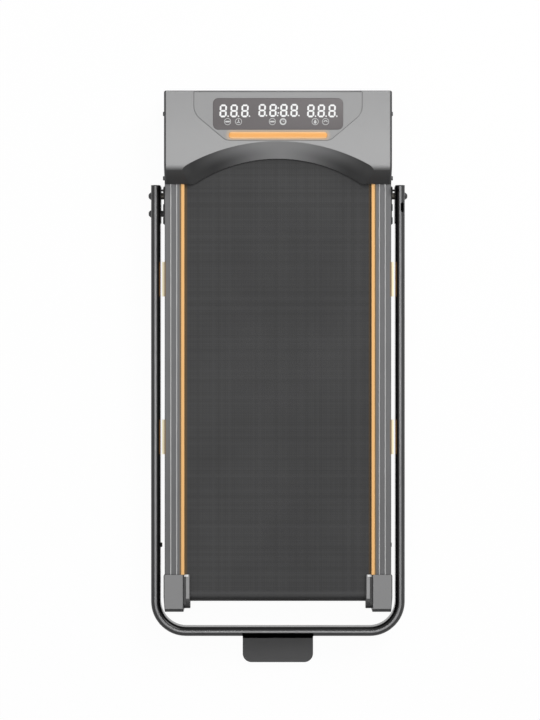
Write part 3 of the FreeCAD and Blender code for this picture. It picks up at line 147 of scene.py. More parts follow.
class Finish:
    """One procedural material: cloudy colour, fine grain, softened edges painted lighter, partly as wear and
    partly as a painted edge highlight.
    """

    edge_wear_and_sheen_brightness = 2.4
    edge_wear_and_sheen_patches = 9 * MM

    def __init__(self, name, colour, roughness, cloud=0.06, cloud_size=70 * MM, wear_and_sheen=0.12, edge=0.8 * MM):
        self.material = bpy.data.materials.new(name)
        self.material.use_nodes = True
        self.tree = self.material.node_tree
        self.shader = self.tree.nodes["Principled BSDF"]
        self.place = add(self.tree, "ShaderNodeTexCoord").outputs["Object"]
        clouds = self.noise(cloud_size, detail=4.0)
        self.colour = tint(self.tree, clouds, scaled(colour, 1 - cloud), scaled(colour, 1 + cloud))
        smoothest, roughest = roughness * 0.9, min(roughness * 1.12, 1.0)
        self.rough = ramp(self.tree, clouds, 0.2, 0.8, smoothest, roughest)
        rounded = add(self.tree, "ShaderNodeBevel", {"Radius": edge}, samples=4)
        self.normal = rounded.outputs["Normal"]
        # Edges painted lighter, partly as wear and partly as a painted edge highlight.
        if wear_and_sheen:
            lighter_edges = self.math("MULTIPLY", self.edge_mask(), wear_and_sheen)
            self.paint(lighter_edges, scaled(colour, self.edge_wear_and_sheen_brightness))

    def math(self, operation, *operands):
        """Result of a math node in this material."""
        return math_node(self.tree, operation, *operands)

    def noise(self, size, detail=2.0):
        """Noise whose features are about as large as the size."""
        made = add(self.tree, "ShaderNodeTexNoise", {"Scale": 1 / size, "Detail": detail, "Roughness": 0.55})
        self.tree.links.new(self.place, made.inputs["Vector"])
        return made.outputs["Fac"]

    def edge_mask(self):
        """One along the edges, nothing on the flats, broken up by noise."""
        facing = add(self.tree, "ShaderNodeVectorMath", operation="DOT_PRODUCT")
        self.tree.links.new(self.normal, facing.inputs[0])
        geometry = add(self.tree, "ShaderNodeNewGeometry")
        self.tree.links.new(geometry.outputs["Normal"], facing.inputs[1])
        edges = self.fade(facing.outputs["Value"], start=0.98, end=0.8)
        patches = ramp(self.tree, self.noise(self.edge_wear_and_sheen_patches), 0.3, 0.7, 0.4, 1.0)
        return self.math("MULTIPLY", edges, patches)

    def axis(self, name):
        """Place along one axis."""
        parts = add(self.tree, "ShaderNodeSeparateXYZ")
        self.tree.links.new(self.place, parts.inputs["Vector"])
        return parts.outputs[name]

    def side(self):
        """Distance from the middle of the pad."""
        return self.math("ABSOLUTE", self.axis("X"))

    def facing(self, name):
        """How far a face looks along one axis."""
        parts = add(self.tree, "ShaderNodeSeparateXYZ")
        geometry = add(self.tree, "ShaderNodeNewGeometry")
        self.tree.links.new(geometry.outputs["Normal"], parts.inputs["Vector"])
        return parts.outputs[name]

    def away(self, value, middle):
        """Distance of a socket's value from a number, to either side."""
        return self.math("ABSOLUTE", self.math("SUBTRACT", value, middle))

    def fade(self, value, start, end, full=1.0):
        """Mask that is nothing at the start and rises smoothly to full at the end."""
        return ramp(self.tree, value, start, end, 0.0, full)

    def paint(self, mask, colour):
        """Lays a colour over what is there, where the mask is one."""
        self.colour = tint(self.tree, mask, self.colour, colour)

    def bump(self, height, depth, strength):
        """Raises the surface by a socket's value."""
        made = add(self.tree, "ShaderNodeBump", {"Strength": strength, "Distance": depth})
        self.tree.links.new(height, made.inputs["Height"])
        self.tree.links.new(self.normal, made.inputs["Normal"])
        self.normal = made.outputs["Normal"]

    def grain(self, size, depth, strength=0.6):
        """Raises the surface by fine noise."""
        self.bump(self.noise(size), depth, strength)

    def glow(self, colour, strength):
        """Sets an even emission."""
        self.shader.inputs["Emission Color"].default_value = (*colour, 1.0)
        self.shader.inputs["Emission Strength"].default_value = strength

    def done(self, metallic=None, specular=None):
        """Sets the shader's even values and joins the varied ones."""
        if metallic is not None:
            self.shader.inputs["Metallic"].default_value = metallic
        if specular is not None:
            self.shader.inputs["Specular IOR Level"].default_value = specular
        links = self.tree.links
        links.new(self.colour, self.shader.inputs["Base Color"])
        links.new(self.rough, self.shader.inputs["Roughness"])
        links.new(self.normal, self.shader.inputs["Normal"])
        return self.material


# Materials, one for each slot of the record

HOOD_GREY = (0.295, 0.295, 0.297)
# Charcoal of walls and rims, which partly stands for their shade (painted shade).
CHARCOAL_AND_SHADE = (0.03, 0.03, 0.031)
DEEP_SHADE = (0.01, 0.01, 0.0105)


def moulded(name, colour, roughness, grain=0.9 * MM, depth=0.05 * MM):
    """Plain plastic or paint with a fine grain."""
    finish = Finish(name, colour, roughness)
    finish.grain(grain, depth)
    return finish.done()


def metal(name, colour, roughness):
    """Bare metal with edges painted lighter, partly as wear and partly as a painted edge highlight."""
    finish = Finish(name, colour, roughness, cloud=0.08, cloud_size=25 * MM, wear_and_sheen=0.2)
    finish.grain(1.6 * MM, 0.02 * MM)
    return finish.done(metallic=1.0)


def rubber(name, colour, roughness=0.75):
    """Dull rubber with a fine grain."""
    finish = Finish(name, colour, roughness, cloud=0.12, wear_and_sheen=0.05)
    finish.grain(0.6 * MM, 0.06 * MM)
    return finish.done(specular=0.3)


def hood_finish():
    """Grey moulded top with painted light: the rear of the top paler, painted shade on the rear roll, a painted
    highlight in the middle of the rear slope and painted shade towards its sides; steep walls and side rim
    charcoal, partly painted shade.
    """
    painted_lit_grey = (0.385, 0.385, 0.387)
    slope_painted_highlight, slope_shade = (0.395, 0.395, 0.4), (0.013, 0.013, 0.0135)
    roll_painted_dusk, roll_painted_shade = (0.024, 0.024, 0.0245), (0.0075, 0.0075, 0.008)
    glint_x = 8 * MM
    finish = Finish("hood_plastic", HOOD_GREY, 0.42)
    tree = finish.tree
    y = finish.axis("Y")
    # Painted light on the top: paler towards the rear, then painted shade on the rear roll.
    finish.paint(finish.fade(y, start=hood_high.y, end=hood_high.y - 130 * MM, full=0.5), painted_lit_grey)
    finish.paint(finish.fade(y, start=hood_low.y + 40 * MM, end=hood_low.y + 23 * MM), DEEP_SHADE)

    # Painted highlight in the middle of the rear slope, centred on the glint, with painted shade towards its
    # sides.
    from_glint = finish.away(finish.axis("X"), glint_x)
    upper = finish.fade(from_glint, start=20 * MM, end=200 * MM)
    lower = finish.fade(from_glint, start=-8 * MM, end=150 * MM)
    sunk = finish.fade(finish.axis("Z"), start=hood_high.z - 4 * MM, end=hood_high.z - 28 * MM)
    more = finish.math("MULTIPLY", finish.math("SUBTRACT", lower, upper), sunk)
    outward = finish.math("ADD", upper, more)

    # Painted shade beside the slope, deepening towards the rear edge.
    falling = finish.fade(y, start=hood_low.y + 27 * MM, end=hood_low.y + 8 * MM)
    beside_slope = finish.fade(finish.side(), start=180 * MM, end=192 * MM)
    shade = tint(tree, beside_slope, slope_shade, tint(tree, falling, roll_painted_dusk, roll_painted_shade))
    slope = tint(tree, outward, slope_painted_highlight, shade)
    # Steep faces take the charcoal, and backward faces the painted slope light and shade.
    backward = finish.fade(finish.facing("Y"), start=-0.15, end=-0.3)
    steep = finish.fade(finish.facing("Z"), start=0.86, end=0.78)
    finish.paint(steep, tint(tree, backward, CHARCOAL_AND_SHADE, slope))

    # Side rim painted charcoal, partly as painted shade on the edge fillet.
    rim = finish.fade(finish.side(), start=hood_high.x - 5.2 * MM, end=hood_high.x - 3.8 * MM)
    finish.paint(rim, CHARCOAL_AND_SHADE)
    finish.grain(0.9 * MM, 0.04 * MM)
    return finish.done()


def cap_finish():
    """Grey moulded top; faces that are not level and the outer rim are charcoal, partly painted shade."""
    finish = Finish("cap_plastic", (0.205, 0.205, 0.207), 0.45)
    # Painted shade: every face that is not level is painted charcoal.
    finish.paint(finish.fade(finish.facing("Z"), start=0.98, end=0.85), CHARCOAL_AND_SHADE)
    rim = finish.fade(finish.side(), start=cap_high.x - 2.6 * MM, end=cap_high.x - 1.4 * MM, full=0.9)
    finish.paint(rim, CHARCOAL_AND_SHADE)
    finish.grain(0.9 * MM, 0.05 * MM)
    return finish.done()


def guard_finish():
    """Pale strip with painted shade in the groove beside the cap, on the rounded end and along the inner lip, and
    a painted highlight at the front tip.
    """
    tip_painted_highlight = (0.8, 0.8, 0.8)
    crest = guard_high.x - 6 * MM
    finish = Finish("guard_plastic", (0.28, 0.28, 0.282), 0.4)
    side, y = finish.side(), finish.axis("Y")
    # Painted shade in the groove, on the curled end and along the inner lip.
    groove = finish.fade(side, start=guard_high.x - 5.8 * MM, end=guard_high.x - 5.2 * MM)
    curled = finish.fade(y, start=guard_low.y + 23.5 * MM, end=guard_low.y + 21 * MM)
    finish.paint(finish.math("MAXIMUM", groove, curled), DEEP_SHADE)
    lip = finish.fade(side, start=guard_high.x - 11.8 * MM, end=guard_high.x - 12.6 * MM, full=0.9)
    finish.paint(lip, DEEP_SHADE)
    # Painted highlight on the front tip.
    tip = finish.fade(y, start=guard_high.y - 5 * MM, end=guard_high.y - 4 * MM)
    narrow = finish.fade(finish.away(side, crest), start=4.8 * MM, end=4.0 * MM)
    finish.paint(finish.math("MULTIPLY", tip, narrow), tip_painted_highlight)
    finish.grain(0.9 * MM, 0.05 * MM)
    return finish.done()


def holder_finish():
    """Charcoal moulding whose front rib, next to the crossbar, is painted black as shade."""
    rib_painted_shade = (0.006, 0.006, 0.0065)
    finish = Finish("holder_plastic", (0.044, 0.044, 0.045), 0.5)
    # Painted shade: the front rib next to the crossbar is painted black.
    rib = finish.fade(finish.axis("Y"), start=tube_low.y - 8.9 * MM, end=tube_low.y - 8.3 * MM)
    finish.paint(rib, rib_painted_shade)
    finish.grain(0.9 * MM, 0.05 * MM)
    return finish.done(specular=0.38)


def console_finish():
    """The hood's plastic, with a painted orange glow from the light bar along its rim."""
    rim_painted_glow = (0.62, 0.42, 0.24)
    rim_glow_reach, rim_glow_share = 9 * MM, 0.55
    finish = Finish("console_plastic", HOOD_GREY, 0.42)
    # Painted glow: orange fading with distance from the light bar.
    beyond = finish.math("SUBTRACT", finish.side(), bar_high.x - bar_radius)
    beyond = finish.math("MAXIMUM", beyond, 0.0)
    across = finish.math("SUBTRACT", finish.axis("Y"), bar_middle_y)
    reach = diagonal(finish.tree, beyond, across)
    finish.paint(ramp(finish.tree, reach, bar_radius, bar_radius + rim_glow_reach, rim_glow_share, 0.0), rim_painted_glow)
    finish.grain(0.9 * MM, 0.04 * MM)
    return finish.done()


def belt_finish():
    """Black PVC pressed with a square weave whose threads are a little uneven, with a painted orange glow beside
    the strips and a painted highlight where the belt turns over the rear roller.
    """
    groove_black, thread_grey = (0.018, 0.018, 0.0185), (0.036, 0.036, 0.037)
    belt_strip_painted_glow, turn_painted_highlight = (0.115, 0.07, 0.028), (0.062, 0.062, 0.063)
    weave_pitch = 4.9 * MM
    finish = Finish("belt_pvc", (0.022, 0.022, 0.0225), 0.62, cloud_size=200 * MM, wear_and_sheen=0.0)
    tree = finish.tree
    threads = []
    uneven = []
    for name in ("X", "Y"):
        turn = finish.math("MULTIPLY", finish.axis(name), math.tau / weave_pitch)
        threads.append(finish.math("SINE", turn))
        line = add(tree, "ShaderNodeTexNoise", {"Scale": 90.0, "Detail": 3.0}, noise_dimensions="1D")
        tree.links.new(finish.axis(name), line.inputs["W"])
        uneven.append(line.outputs["Fac"])
    weave = finish.math("MAXIMUM", *threads)
    finish.paint(finish.fade(weave, start=0.55, end=1.0, full=0.5), groove_black)
    streaks = finish.math("ADD", *uneven)
    finish.paint(finish.fade(streaks, start=0.75, end=1.25, full=0.5), thread_grey)
    # Painted glow of the orange strips along the belt's edges.
    finish.paint(finish.fade(finish.side(), start=192.5 * MM, end=198 * MM), belt_strip_painted_glow)
    y = finish.axis("Y")
    # Painted highlight where the belt turns over the rear roller.
    turning = finish.fade(y, start=belt_low.y + 26 * MM, end=belt_low.y + 18 * MM)
    above_roller = finish.fade(y, start=belt_low.y + 8 * MM, end=belt_low.y + 13 * MM, full=0.8)
    finish.paint(finish.math("MULTIPLY", turning, above_roller), turn_painted_highlight)
    finish.bump(weave, 0.1 * MM, 0.5)
    finish.grain(0.7 * MM, 0.06 * MM, 0.5)
    return finish.done(specular=0.35)


def rail_finish():
    """Brushed aluminium painted darker towards the rear as shade, with painted highlights on the ridges and a
    painted orange glow beside the orange strip and the side lights.
    """
    rear_painted_shade, ridge_painted_highlight = (0.09, 0.09, 0.092), (0.37, 0.37, 0.37)
    rail_strip_painted_glow, side_light_painted_glow = (0.13, 0.085, 0.036), (0.15, 0.095, 0.046)
    strip_middle = trim_high.x - trim_width / 2 - 0.8 * MM
    finish = Finish("rail_aluminium", (0.106, 0.106, 0.108), 0.5, cloud=0.05, wear_and_sheen=0.1)
    tree = finish.tree
    side, y = finish.side(), finish.axis("Y")

    def band(value, middle, half, inner_soft, outer_soft):
        """One within half a width of the middle, with soft ends."""
        return finish.fade(finish.away(value, middle), start=half + outer_soft, end=half - inner_soft)

    # Painted shade towards the rear, painted glow beside the strip and painted highlights on the ridges.
    finish.paint(finish.fade(y, start=200 * MM, end=-450 * MM), rear_painted_shade)
    finish.paint(band(side, strip_middle, 6.2 * MM, 0.0, 2.0 * MM), rail_strip_painted_glow)
    for ridge in ridge_places:
        finish.paint(band(side, ridge, 1.1 * MM, 0.0, 0.6 * MM), ridge_painted_highlight)

    # Painted glow of the side lights on the rail's outer top edge.
    edge = finish.fade(side, start=accent_high.x - 10 * MM, end=accent_high.x - 7 * MM)
    above = finish.fade(finish.axis("Z"), start=accent_high.z - 2 * MM, end=accent_high.z + 8 * MM)
    spans = []
    for middle in (accent_low.y + accent_length / 2, accent_high.y - accent_length / 2):
        spans.append(band(y, middle, accent_length / 2, 3 * MM, 4 * MM))
    lit_edge = finish.math("MULTIPLY", edge, above)
    finish.paint(finish.math("MULTIPLY", lit_edge, finish.math("MAXIMUM", *spans)), side_light_painted_glow)

    stretched = add(tree, "ShaderNodeMapping", {"Scale": (1.0, 0.02, 1.0)})
    tree.links.new(finish.place, stretched.inputs["Vector"])
    brushing = add(tree, "ShaderNodeTexNoise", {"Scale": 1600.0, "Detail": 3.0})
    tree.links.new(stretched.outputs["Vector"], brushing.inputs["Vector"])
    finish.bump(brushing.outputs["Fac"], 0.02 * MM, 0.5)
    return finish.done(metallic=0.35)


def window_finish():
    """Smoked acrylic with a fine matt skin."""
    finish = Finish("display_window", (0.147, 0.136, 0.138), 0.45, cloud=0.03, wear_and_sheen=0.0, edge=0.3 * MM)
    finish.grain(0.8 * MM, 0.01 * MM, 0.3)
    return finish.done(specular=0.25)


def light_bar_finish():
    """Frosted orange lens, deeper in the middle and paler at its rim."""
    pale_orange = (0.82, 0.52, 0.26)
    finish = Finish("light_bar_plastic", (0.82, 0.37, 0.085), 0.35, cloud=0.05, wear_and_sheen=0.0, edge=0.4 * MM)
    across = finish.away(finish.axis("Y"), bar_middle_y)
    finish.paint(finish.fade(across, start=2.5 * MM, end=7 * MM), pale_orange)
    finish.grain(1.2 * MM, 0.04 * MM)
    finish.glow((1.0, 0.52, 0.16), 0.05)
    return finish.done()


def trim_finish():
    """Orange extrusion; a little of its light runs along the strip."""
    finish = Finish("trim_orange", (0.80, 0.44, 0.15), 0.4, wear_and_sheen=0.05)
    finish.grain(0.8 * MM, 0.03 * MM)
    finish.glow((1.0, 0.5, 0.15), 0.06)
    return finish.done()


def accent_finish():
    """Cream lens of a side light, brown where it meets the rail and lit amber on its outer face."""
    root_brown = (0.22, 0.145, 0.08)
    dark, crest_light, face_light = (0.0, 0.0, 0.0), (0.16, 0.145, 0.1), (1.0, 0.4, 0.06)
    finish = Finish("accent_lens", (0.80, 0.70, 0.47), 0.4, cloud=0.04, wear_and_sheen=0.0)
    tree = finish.tree
    root = finish.fade(finish.side(), start=accent_root + 3.6 * MM, end=accent_root + 1.8 * MM)
    finish.paint(root, root_brown)
    finish.grain(0.8 * MM, 0.03 * MM)
    outer = finish.fade(finish.math("ABSOLUTE", finish.facing("X")), start=0.6, end=0.8)
    upward = finish.fade(finish.facing("Z"), start=0.6, end=0.8)
    light = tint(tree, outer, tint(tree, upward, dark, crest_light), face_light)
    tree.links.new(light, finish.shader.inputs["Emission Color"])
    finish.shader.inputs["Emission Strength"].default_value = 2.0
    return finish.done()


def tube_finish():
    """Black powder coat, with a painted sheen on the outer half of the tube and a painted highlight along its
    crown.
    """
    outer_painted_sheen, crown_painted_highlight = (0.042, 0.042, 0.043), (0.27, 0.27, 0.275)
    bend_reach = tube_half_width + tube_bend_radius
    finish = Finish("tube_black", (0.004, 0.004, 0.0043), 0.22, cloud=0.05, wear_and_sheen=0.0, edge=0.5 * MM)
    past_x = finish.math("SUBTRACT", finish.side(), tube_high.x - bend_reach)
    past_y = finish.math("SUBTRACT", tube_low.y + bend_reach, finish.axis("Y"))
    over_x = finish.math("MAXIMUM", past_x, 0.0)
    over_y = finish.math("MAXIMUM", past_y, 0.0)
    corner = diagonal(finish.tree, over_x, over_y)
    straight = finish.math("MINIMUM", finish.math("MAXIMUM", past_x, past_y), 0.0)
    outward = finish.math("SUBTRACT", finish.math("ADD", corner, straight), tube_bend_radius)
    # Painted sheen on the outer half and painted highlight along the crown.
    finish.paint(finish.fade(outward, start=-2.5 * MM, end=1.5 * MM), outer_painted_sheen)
    crown = finish.fade(finish.math("ABSOLUTE", outward), start=2.7 * MM, end=1.4 * MM)
    upper = finish.fade(finish.axis("Z"), start=tube_high.z - 2 * MM, end=tube_high.z - 1 * MM)
    finish.paint(finish.math("MULTIPLY", crown, upper), crown_painted_highlight)
    finish.grain(1.1 * MM, 0.01 * MM, 0.25)
    return finish.done(specular=0.25)


def shadow_sheet_finish():
    """Matt black sheet that stands in for shadow (painted shadow)."""
    finish = Finish("painted_shadow_black", (0.0015, 0.0015, 0.0015), 0.95, cloud=0.2, cloud_size=6 * MM, wear_and_sheen=0.0)
    finish.grain(0.8 * MM, 0.1 * MM)
    return finish.done(specular=0.0)


def wood_finish():
    """Pressed board with a cloudy colour and a coarse grain."""
    finish = Finish("deck_wood", (0.30, 0.19, 0.10), 0.6, cloud=0.2, cloud_size=18 * MM, wear_and_sheen=0.1)
    finish.grain(1.4 * MM, 0.1 * MM)
    return finish.done()


finishes = {
    "hood_plastic": hood_finish(),
    "console_plastic": console_finish(),
    "display_window": window_finish(),
    "light_bar_plastic": light_bar_finish(),
    "trim_orange": trim_finish(),
    "belt_pvc": belt_finish(),
    "rail_aluminium": rail_finish(),
    "cap_plastic": cap_finish(),
    "guard_plastic": guard_finish(),
    "tube_black": tube_finish(),
    "holder_plastic": holder_finish(),
    "black_plastic": moulded("black_plastic", (0.016, 0.016, 0.017), 0.45),
    "pad_rubber": rubber("pad_rubber", (0.03, 0.03, 0.031)),
    "foot_rubber": rubber("foot_rubber", (0.018, 0.018, 0.018)),
    "wheel_rubber": rubber("wheel_rubber", (0.024, 0.024, 0.025), 0.6),
    "frame_steel": moulded("frame_steel", (0.02, 0.02, 0.021), 0.5, grain=1.4 * MM, depth=0.08 * MM),
    "bolt_steel": metal("bolt_steel", (0.06, 0.06, 0.062), 0.4),
    "bright_steel": metal("bright_steel", (0.55, 0.55, 0.56), 0.25),
    "bronze_bush": metal("bronze_bush", (0.06, 0.056, 0.05), 0.4),
    "motor_steel": metal("motor_steel", (0.10, 0.10, 0.105), 0.45),
    "heatsink": metal("heatsink", (0.42, 0.42, 0.43), 0.4),
    "deck_wood": wood_finish(),
    "board_green": moulded("board_green", (0.02, 0.10, 0.045), 0.45),
    "led_white": moulded("led_white", (0.92, 0.92, 0.92), 0.4),
    "switch_red": moulded("switch_red", (0.45, 0.03, 0.025), 0.35),
}


def dress(piece, material):
    """Gives a piece one material in place of those it has."""
    piece.data.materials.clear()
    piece.data.materials.append(material)


for part in frame["record"]["subparts"]:
    dress(frame["nodes"][part["node"]], finishes[part["material_slot"]])
dress(frame["nodes"]["side_accents"], accent_finish())


# Helpers for meshes

same_place = 0.0001 * MM
crease_degrees = 35
corner_steps = 10
ring_step_degrees = 9
stroke_end_steps = 6
dot_sides = 16


def piece_from(name, shape, body, slot, material=None, smooth=True):
    """Object made from a bmesh, riding on a body, with the slot's finish or one of its own."""
    bmesh.ops.recalc_face_normals(shape, faces=shape.faces)
    mesh = bpy.data.meshes.new(name)
    shape.to_mesh(mesh)
    shape.free()
    piece = bpy.data.objects.new(name, mesh)
    scene.collection.objects.link(piece)
    dress(piece, material or finishes[slot])
    if smooth:
        mesh.shade_smooth()
        mesh.set_sharp_from_angle(angle=math.radians(crease_degrees))
    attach(piece, body)
    return piece


def add_loft(shape, rings, endless=False):
    """Closed skin through rings of equal count, capped at both ends or led back to its start."""
    rows = [[shape.verts.new(point) for point in ring] for ring in rings]
    count = len(rows[0])
    pairs = list(zip(rows, rows[1:]))
    if endless:
        pairs.append((rows[-1], rows[0]))
    for below, above in pairs:
        for place in range(count):
            after = (place + 1) % count
            shape.faces.new((below[place], below[after], above[after], above[place]))
    if not endless:
        shape.faces.new(list(reversed(rows[0])))
        shape.faces.new(rows[-1])


def add_plate(shape, outline, low, high):
    """Upright plate from a flat outline."""
    add_loft(shape, [[(x, y, z) for x, y in outline] for z in (low, high)])


def rounded_box(low, high, radius, steps=corner_steps):
    """Corners of a flat rectangle with rounded corners, anticlockwise, none of them twice."""
    outline = []
    turns = ((high[0], high[1], 0), (low[0], high[1], 1), (low[0], low[1], 2), (high[0], low[1], 3))
    for x, y, quarter in turns:
        inward = (-1 if x == high[0] else 1, -1 if y == high[1] else 1)
        middle = (x + inward[0] * radius, y + inward[1] * radius)
        for step in range(steps + 1):
            angle = math.pi / 2 * (quarter + step / steps)
            outline.append((middle[0] + radius * math.cos(angle), middle[1] + radius * math.sin(angle)))
    following = outline[1:] + outline[:1]
    return [point for point, after in zip(outline, following) if math.dist(point, after) > same_place]


def inset_ring(low, high, radius, inset, z, steps=corner_steps):
    """Rounded rectangle at one height, drawn in from its box by the inset."""
    inner_low = (low[0] + inset, low[1] + inset)
    inner_high = (high[0] - inset, high[1] - inset)
    return [(x, y, z) for x, y in rounded_box(inner_low, inner_high, radius - inset, steps)]


def add_ring(shape, middle, outer, inner, low, high, start=0.0, end=360.0):
    """Flat ring or part of one, angles in degrees."""
    sweep = end - start
    whole = sweep == 360
    steps = int(sweep / ring_step_degrees)
    section = ((inner, low), (outer, low), (outer, high), (inner, high))
    rings = []
    for step in range(steps if whole else steps + 1):
        angle = math.radians(start + sweep * step / steps)
        across, along = math.cos(angle), math.sin(angle)
        rings.append([(middle[0] + radius * across, middle[1] + radius * along, z) for radius, z in section])
    add_loft(shape, rings, endless=whole)


def add_stroke(shape, start, end, width, low, high):
    """Flat bar with round ends between two points."""
    line = Vector(end) - Vector(start)
    heading = math.atan2(line.y, line.x)
    outline = []
    for point, first_turn in ((Vector(end), -90), (Vector(start), 90)):
        for step in range(stroke_end_steps + 1):
            angle = heading + math.radians(first_turn + 180 * step / stroke_end_steps)
            outline.append((point.x + width / 2 * math.cos(angle), point.y + width / 2 * math.sin(angle)))
    add_plate(shape, outline, low, high)


# Display window with its digits and icons

window_top = lens_high.z - 0.15 * MM
window_corner = 11.7 * MM
mark_low = window_top - 0.1 * MM
mark_high = lens_high.z
digit_width = 15.5 * MM
digit_height = 27.4 * MM
digit_stroke = 3.9 * MM
digit_lean = 0.046
segment_gap = 0.35 * MM
dot_diameter = 3.4 * MM


def make_window():
    shape = bmesh.new()
    rim = (
        (0.0, lens_low.z),
        (0.0, window_top - 0.6 * MM),
        (0.15 * MM, window_top - 0.2 * MM),
        (0.6 * MM, window_top),
    )
    add_loft(shape, [inset_ring(lens_low, lens_high, window_corner, inset, z) for inset, z in rim])
    window = piece_from("display_window", shape, "chassis", "display_window")
    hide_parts("display_lens")


def add_segment(shape, outline, floor):
    """One bar of a digit, leaning to the right above the floor."""
    leaning = [(x + (y - floor) * digit_lean, y) for x, y in outline]
    add_plate(shape, leaning, mark_low, mark_high)


def add_digit(shape, left, floor):
    """All seven bars of one digit, each with pointed ends."""
    half = digit_stroke / 2
    right = left + digit_width
    head = floor + digit_height
    waist = floor + digit_height / 2
    for y in (floor + half, waist, head - half):
        start, end = left + half + segment_gap, right - half - segment_gap
        outline = [
            (start, y),
            (start + half, y - half),
            (end - half, y - half),
            (end, y),
            (end - half, y + half),
            (start + half, y + half),
        ]
        add_segment(shape, outline, floor)
    for x in (left + half, right - half):
        for low, high in ((floor + half, waist), (waist, head - half)):
            start, end = low + segment_gap, high - segment_gap
            outline = [
                (x, start),
                (x + half, start + half),
                (x + half, end - half),
                (x, end),
                (x - half, end - half),
                (x - half, start + half),
            ]
            add_segment(shape, outline, floor)


def add_dot(shape, x, y):
    """Round dot of the display."""
    outline = []
    for step in range(dot_sides):
        angle = math.tau * step / dot_sides
        outline.append((x + dot_diameter / 2 * math.cos(angle), y + dot_diameter / 2 * math.sin(angle)))
    add_plate(shape, outline, mark_low, mark_high)


def make_digits():
    """Three groups of digits with their dots, and a colon in the middle; places across are in mm."""
    shape = bmesh.new()
    outer_floor, middle_floor = lens_high.y - 40.8 * MM, lens_high.y - 39.8 * MM
    outer_dot_rise, middle_dot_rise = 2.4 * MM, 2.8 * MM
    outer_digits = (-124.6, -101.7, -78.6, 61.2, 83.4, 106.3)
    outer_dots = (-105.9, -83.7, -60.7, 79.6, 102.0, 124.7)
    middle_digits = (-42.0, -19.0, 3.9, 25.8)
    middle_dots = (-24.5, -0.9, 21.7, 44.3)
    colon_x, colon_drops = 0.6 * MM, (21.0 * MM, 31.5 * MM)
    for x in outer_digits:
        add_digit(shape, x * MM, outer_floor)
    for x in middle_digits:
        add_digit(shape, x * MM, middle_floor)
    for x in outer_dots:
        add_dot(shape, x * MM, outer_floor + outer_dot_rise)
    for x in middle_dots:
        add_dot(shape, x * MM, middle_floor + middle_dot_rise)
    for drop in colon_drops:
        add_dot(shape, colon_x, lens_high.y - drop)
    piece_from("display_digits", shape, "chassis", "led_white", smooth=False)


def make_icons():
    """Generic marks for speed, distance, time and so on, each in a ring."""
    shape = bmesh.new()
    y = lens_high.y - 49.8 * MM
    outer = 7.3 * MM
    thin, thick = 1.2 * MM, 3 * MM
    places = [x * MM for x in (-107.0, -83.7, -12.0, 10.7, 78.8, 100.9)]
    dash_left, step_mark, dash_middle, clock, flame, arch = places
    for x in (dash_left, step_mark, dash_middle, flame, arch):
        add_ring(shape, (x, y), outer, outer - thin, mark_low, mark_high)
    add_ring(shape, (clock, y), outer, outer - thick, mark_low, mark_high)

    dash_reach, dash_width = 3.6 * MM, 3.3 * MM
    for x in (dash_left, dash_middle):
        add_stroke(shape, (x - dash_reach, y), (x + dash_reach, y), dash_width, mark_low, mark_high)

    step_width = 2 * MM
    upright = ((step_mark, y + 3.6 * MM), (step_mark, y - 1.6 * MM))
    base = ((step_mark - 3 * MM, y - 1.8 * MM), (step_mark + 2.4 * MM, y - 1.8 * MM))
    for start, end in (upright, base):
        add_stroke(shape, start, end, step_width, mark_low, mark_high)

    hand_width = 1.4 * MM
    long_hand = ((clock, y), (clock, y + 3.2 * MM))
    short_hand = ((clock + 0.8 * MM, y), (clock + 2.4 * MM, y))
    for start, end in (long_hand, short_hand):
        add_stroke(shape, start, end, hand_width, mark_low, mark_high)

    flame_radius, flame_tip, flame_drop = 3 * MM, 5 * MM, 1.4 * MM
    flame_points, first_degrees, step_degrees = 11, 25, 23
    outline = [(flame, y + flame_tip)]
    for step in range(flame_points):
        angle = math.radians(first_degrees - step_degrees * step)
        across, along = flame_radius * math.cos(angle), flame_radius * math.sin(angle)
        outline.append((flame + across, y - flame_drop + along))
    add_plate(shape, outline, mark_low, mark_high)

    arch_middle = (arch, y - 1.6 * MM)
    arch_outer, arch_inner = 4.6 * MM, 2.6 * MM
    add_ring(shape, arch_middle, arch_outer, arch_inner, mark_low, mark_high, start=10, end=170)
    icon_print = moulded("icon_print", (0.62, 0.62, 0.62), 0.5)
    piece_from("display_icons", shape, "chassis", "led_white", icon_print, smooth=False)


make_window()
make_digits()
make_icons()


# Light bar with a crowned lens

def make_light_bar():
    shape = bmesh.new()
    crown = ((0.0, 2.0), (0.0, 0.9), (0.06, 0.55), (0.2, 0.3), (0.5, 0.1), (0.97, 0.0))
    rings = [inset_ring(bar_low, bar_high, bar_radius, 0.0, bar_low.z)]
    for inset_share, drop in crown:
        inset = bar_radius * inset_share
        rings.append(inset_ring(bar_low, bar_high, bar_radius, inset, bar_high.z - drop * MM))
    add_loft(shape, rings)
    bar = piece_from("light_bar_lens", shape, "chassis", "light_bar_plastic")
    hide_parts("light_bar")


make_light_bar()


# Ribbed rubber pad that grips the phone

def make_phone_pad():
    shape = bmesh.new()
    low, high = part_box("phone_pad")
    corner = 12 * MM
    rib_pitch, rib_width, rib_end_gap, rib_sunk = 4 * MM, 2.2 * MM, 3 * MM, 0.1 * MM
    backing = low.z + 0.7 * MM
    add_plate(shape, rounded_box(low, high, corner), backing, high.z)
    count = int((high.y - low.y) / rib_pitch)
    first = (low.y + high.y - rib_pitch * (count - 1)) / 2
    for place in range(count):
        y = first + rib_pitch * place
        into_corner = max(low.y + corner - y, y - high.y + corner, 0.0)
        reach = high.x - corner + math.sqrt(corner**2 - into_corner**2) - rib_end_gap
        add_stroke(shape, (-reach, y), (reach, y), rib_width, low.z, backing + rib_sunk)
    pad = piece_from("ribbed_phone_pad", shape, "handrail", "pad_rubber", smooth=False)
    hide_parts("phone_pad")


make_phone_pad()


# Matt black strips on the holder's front rib and on the crossbar ahead of it, put where there is shadow (painted
# shadow)

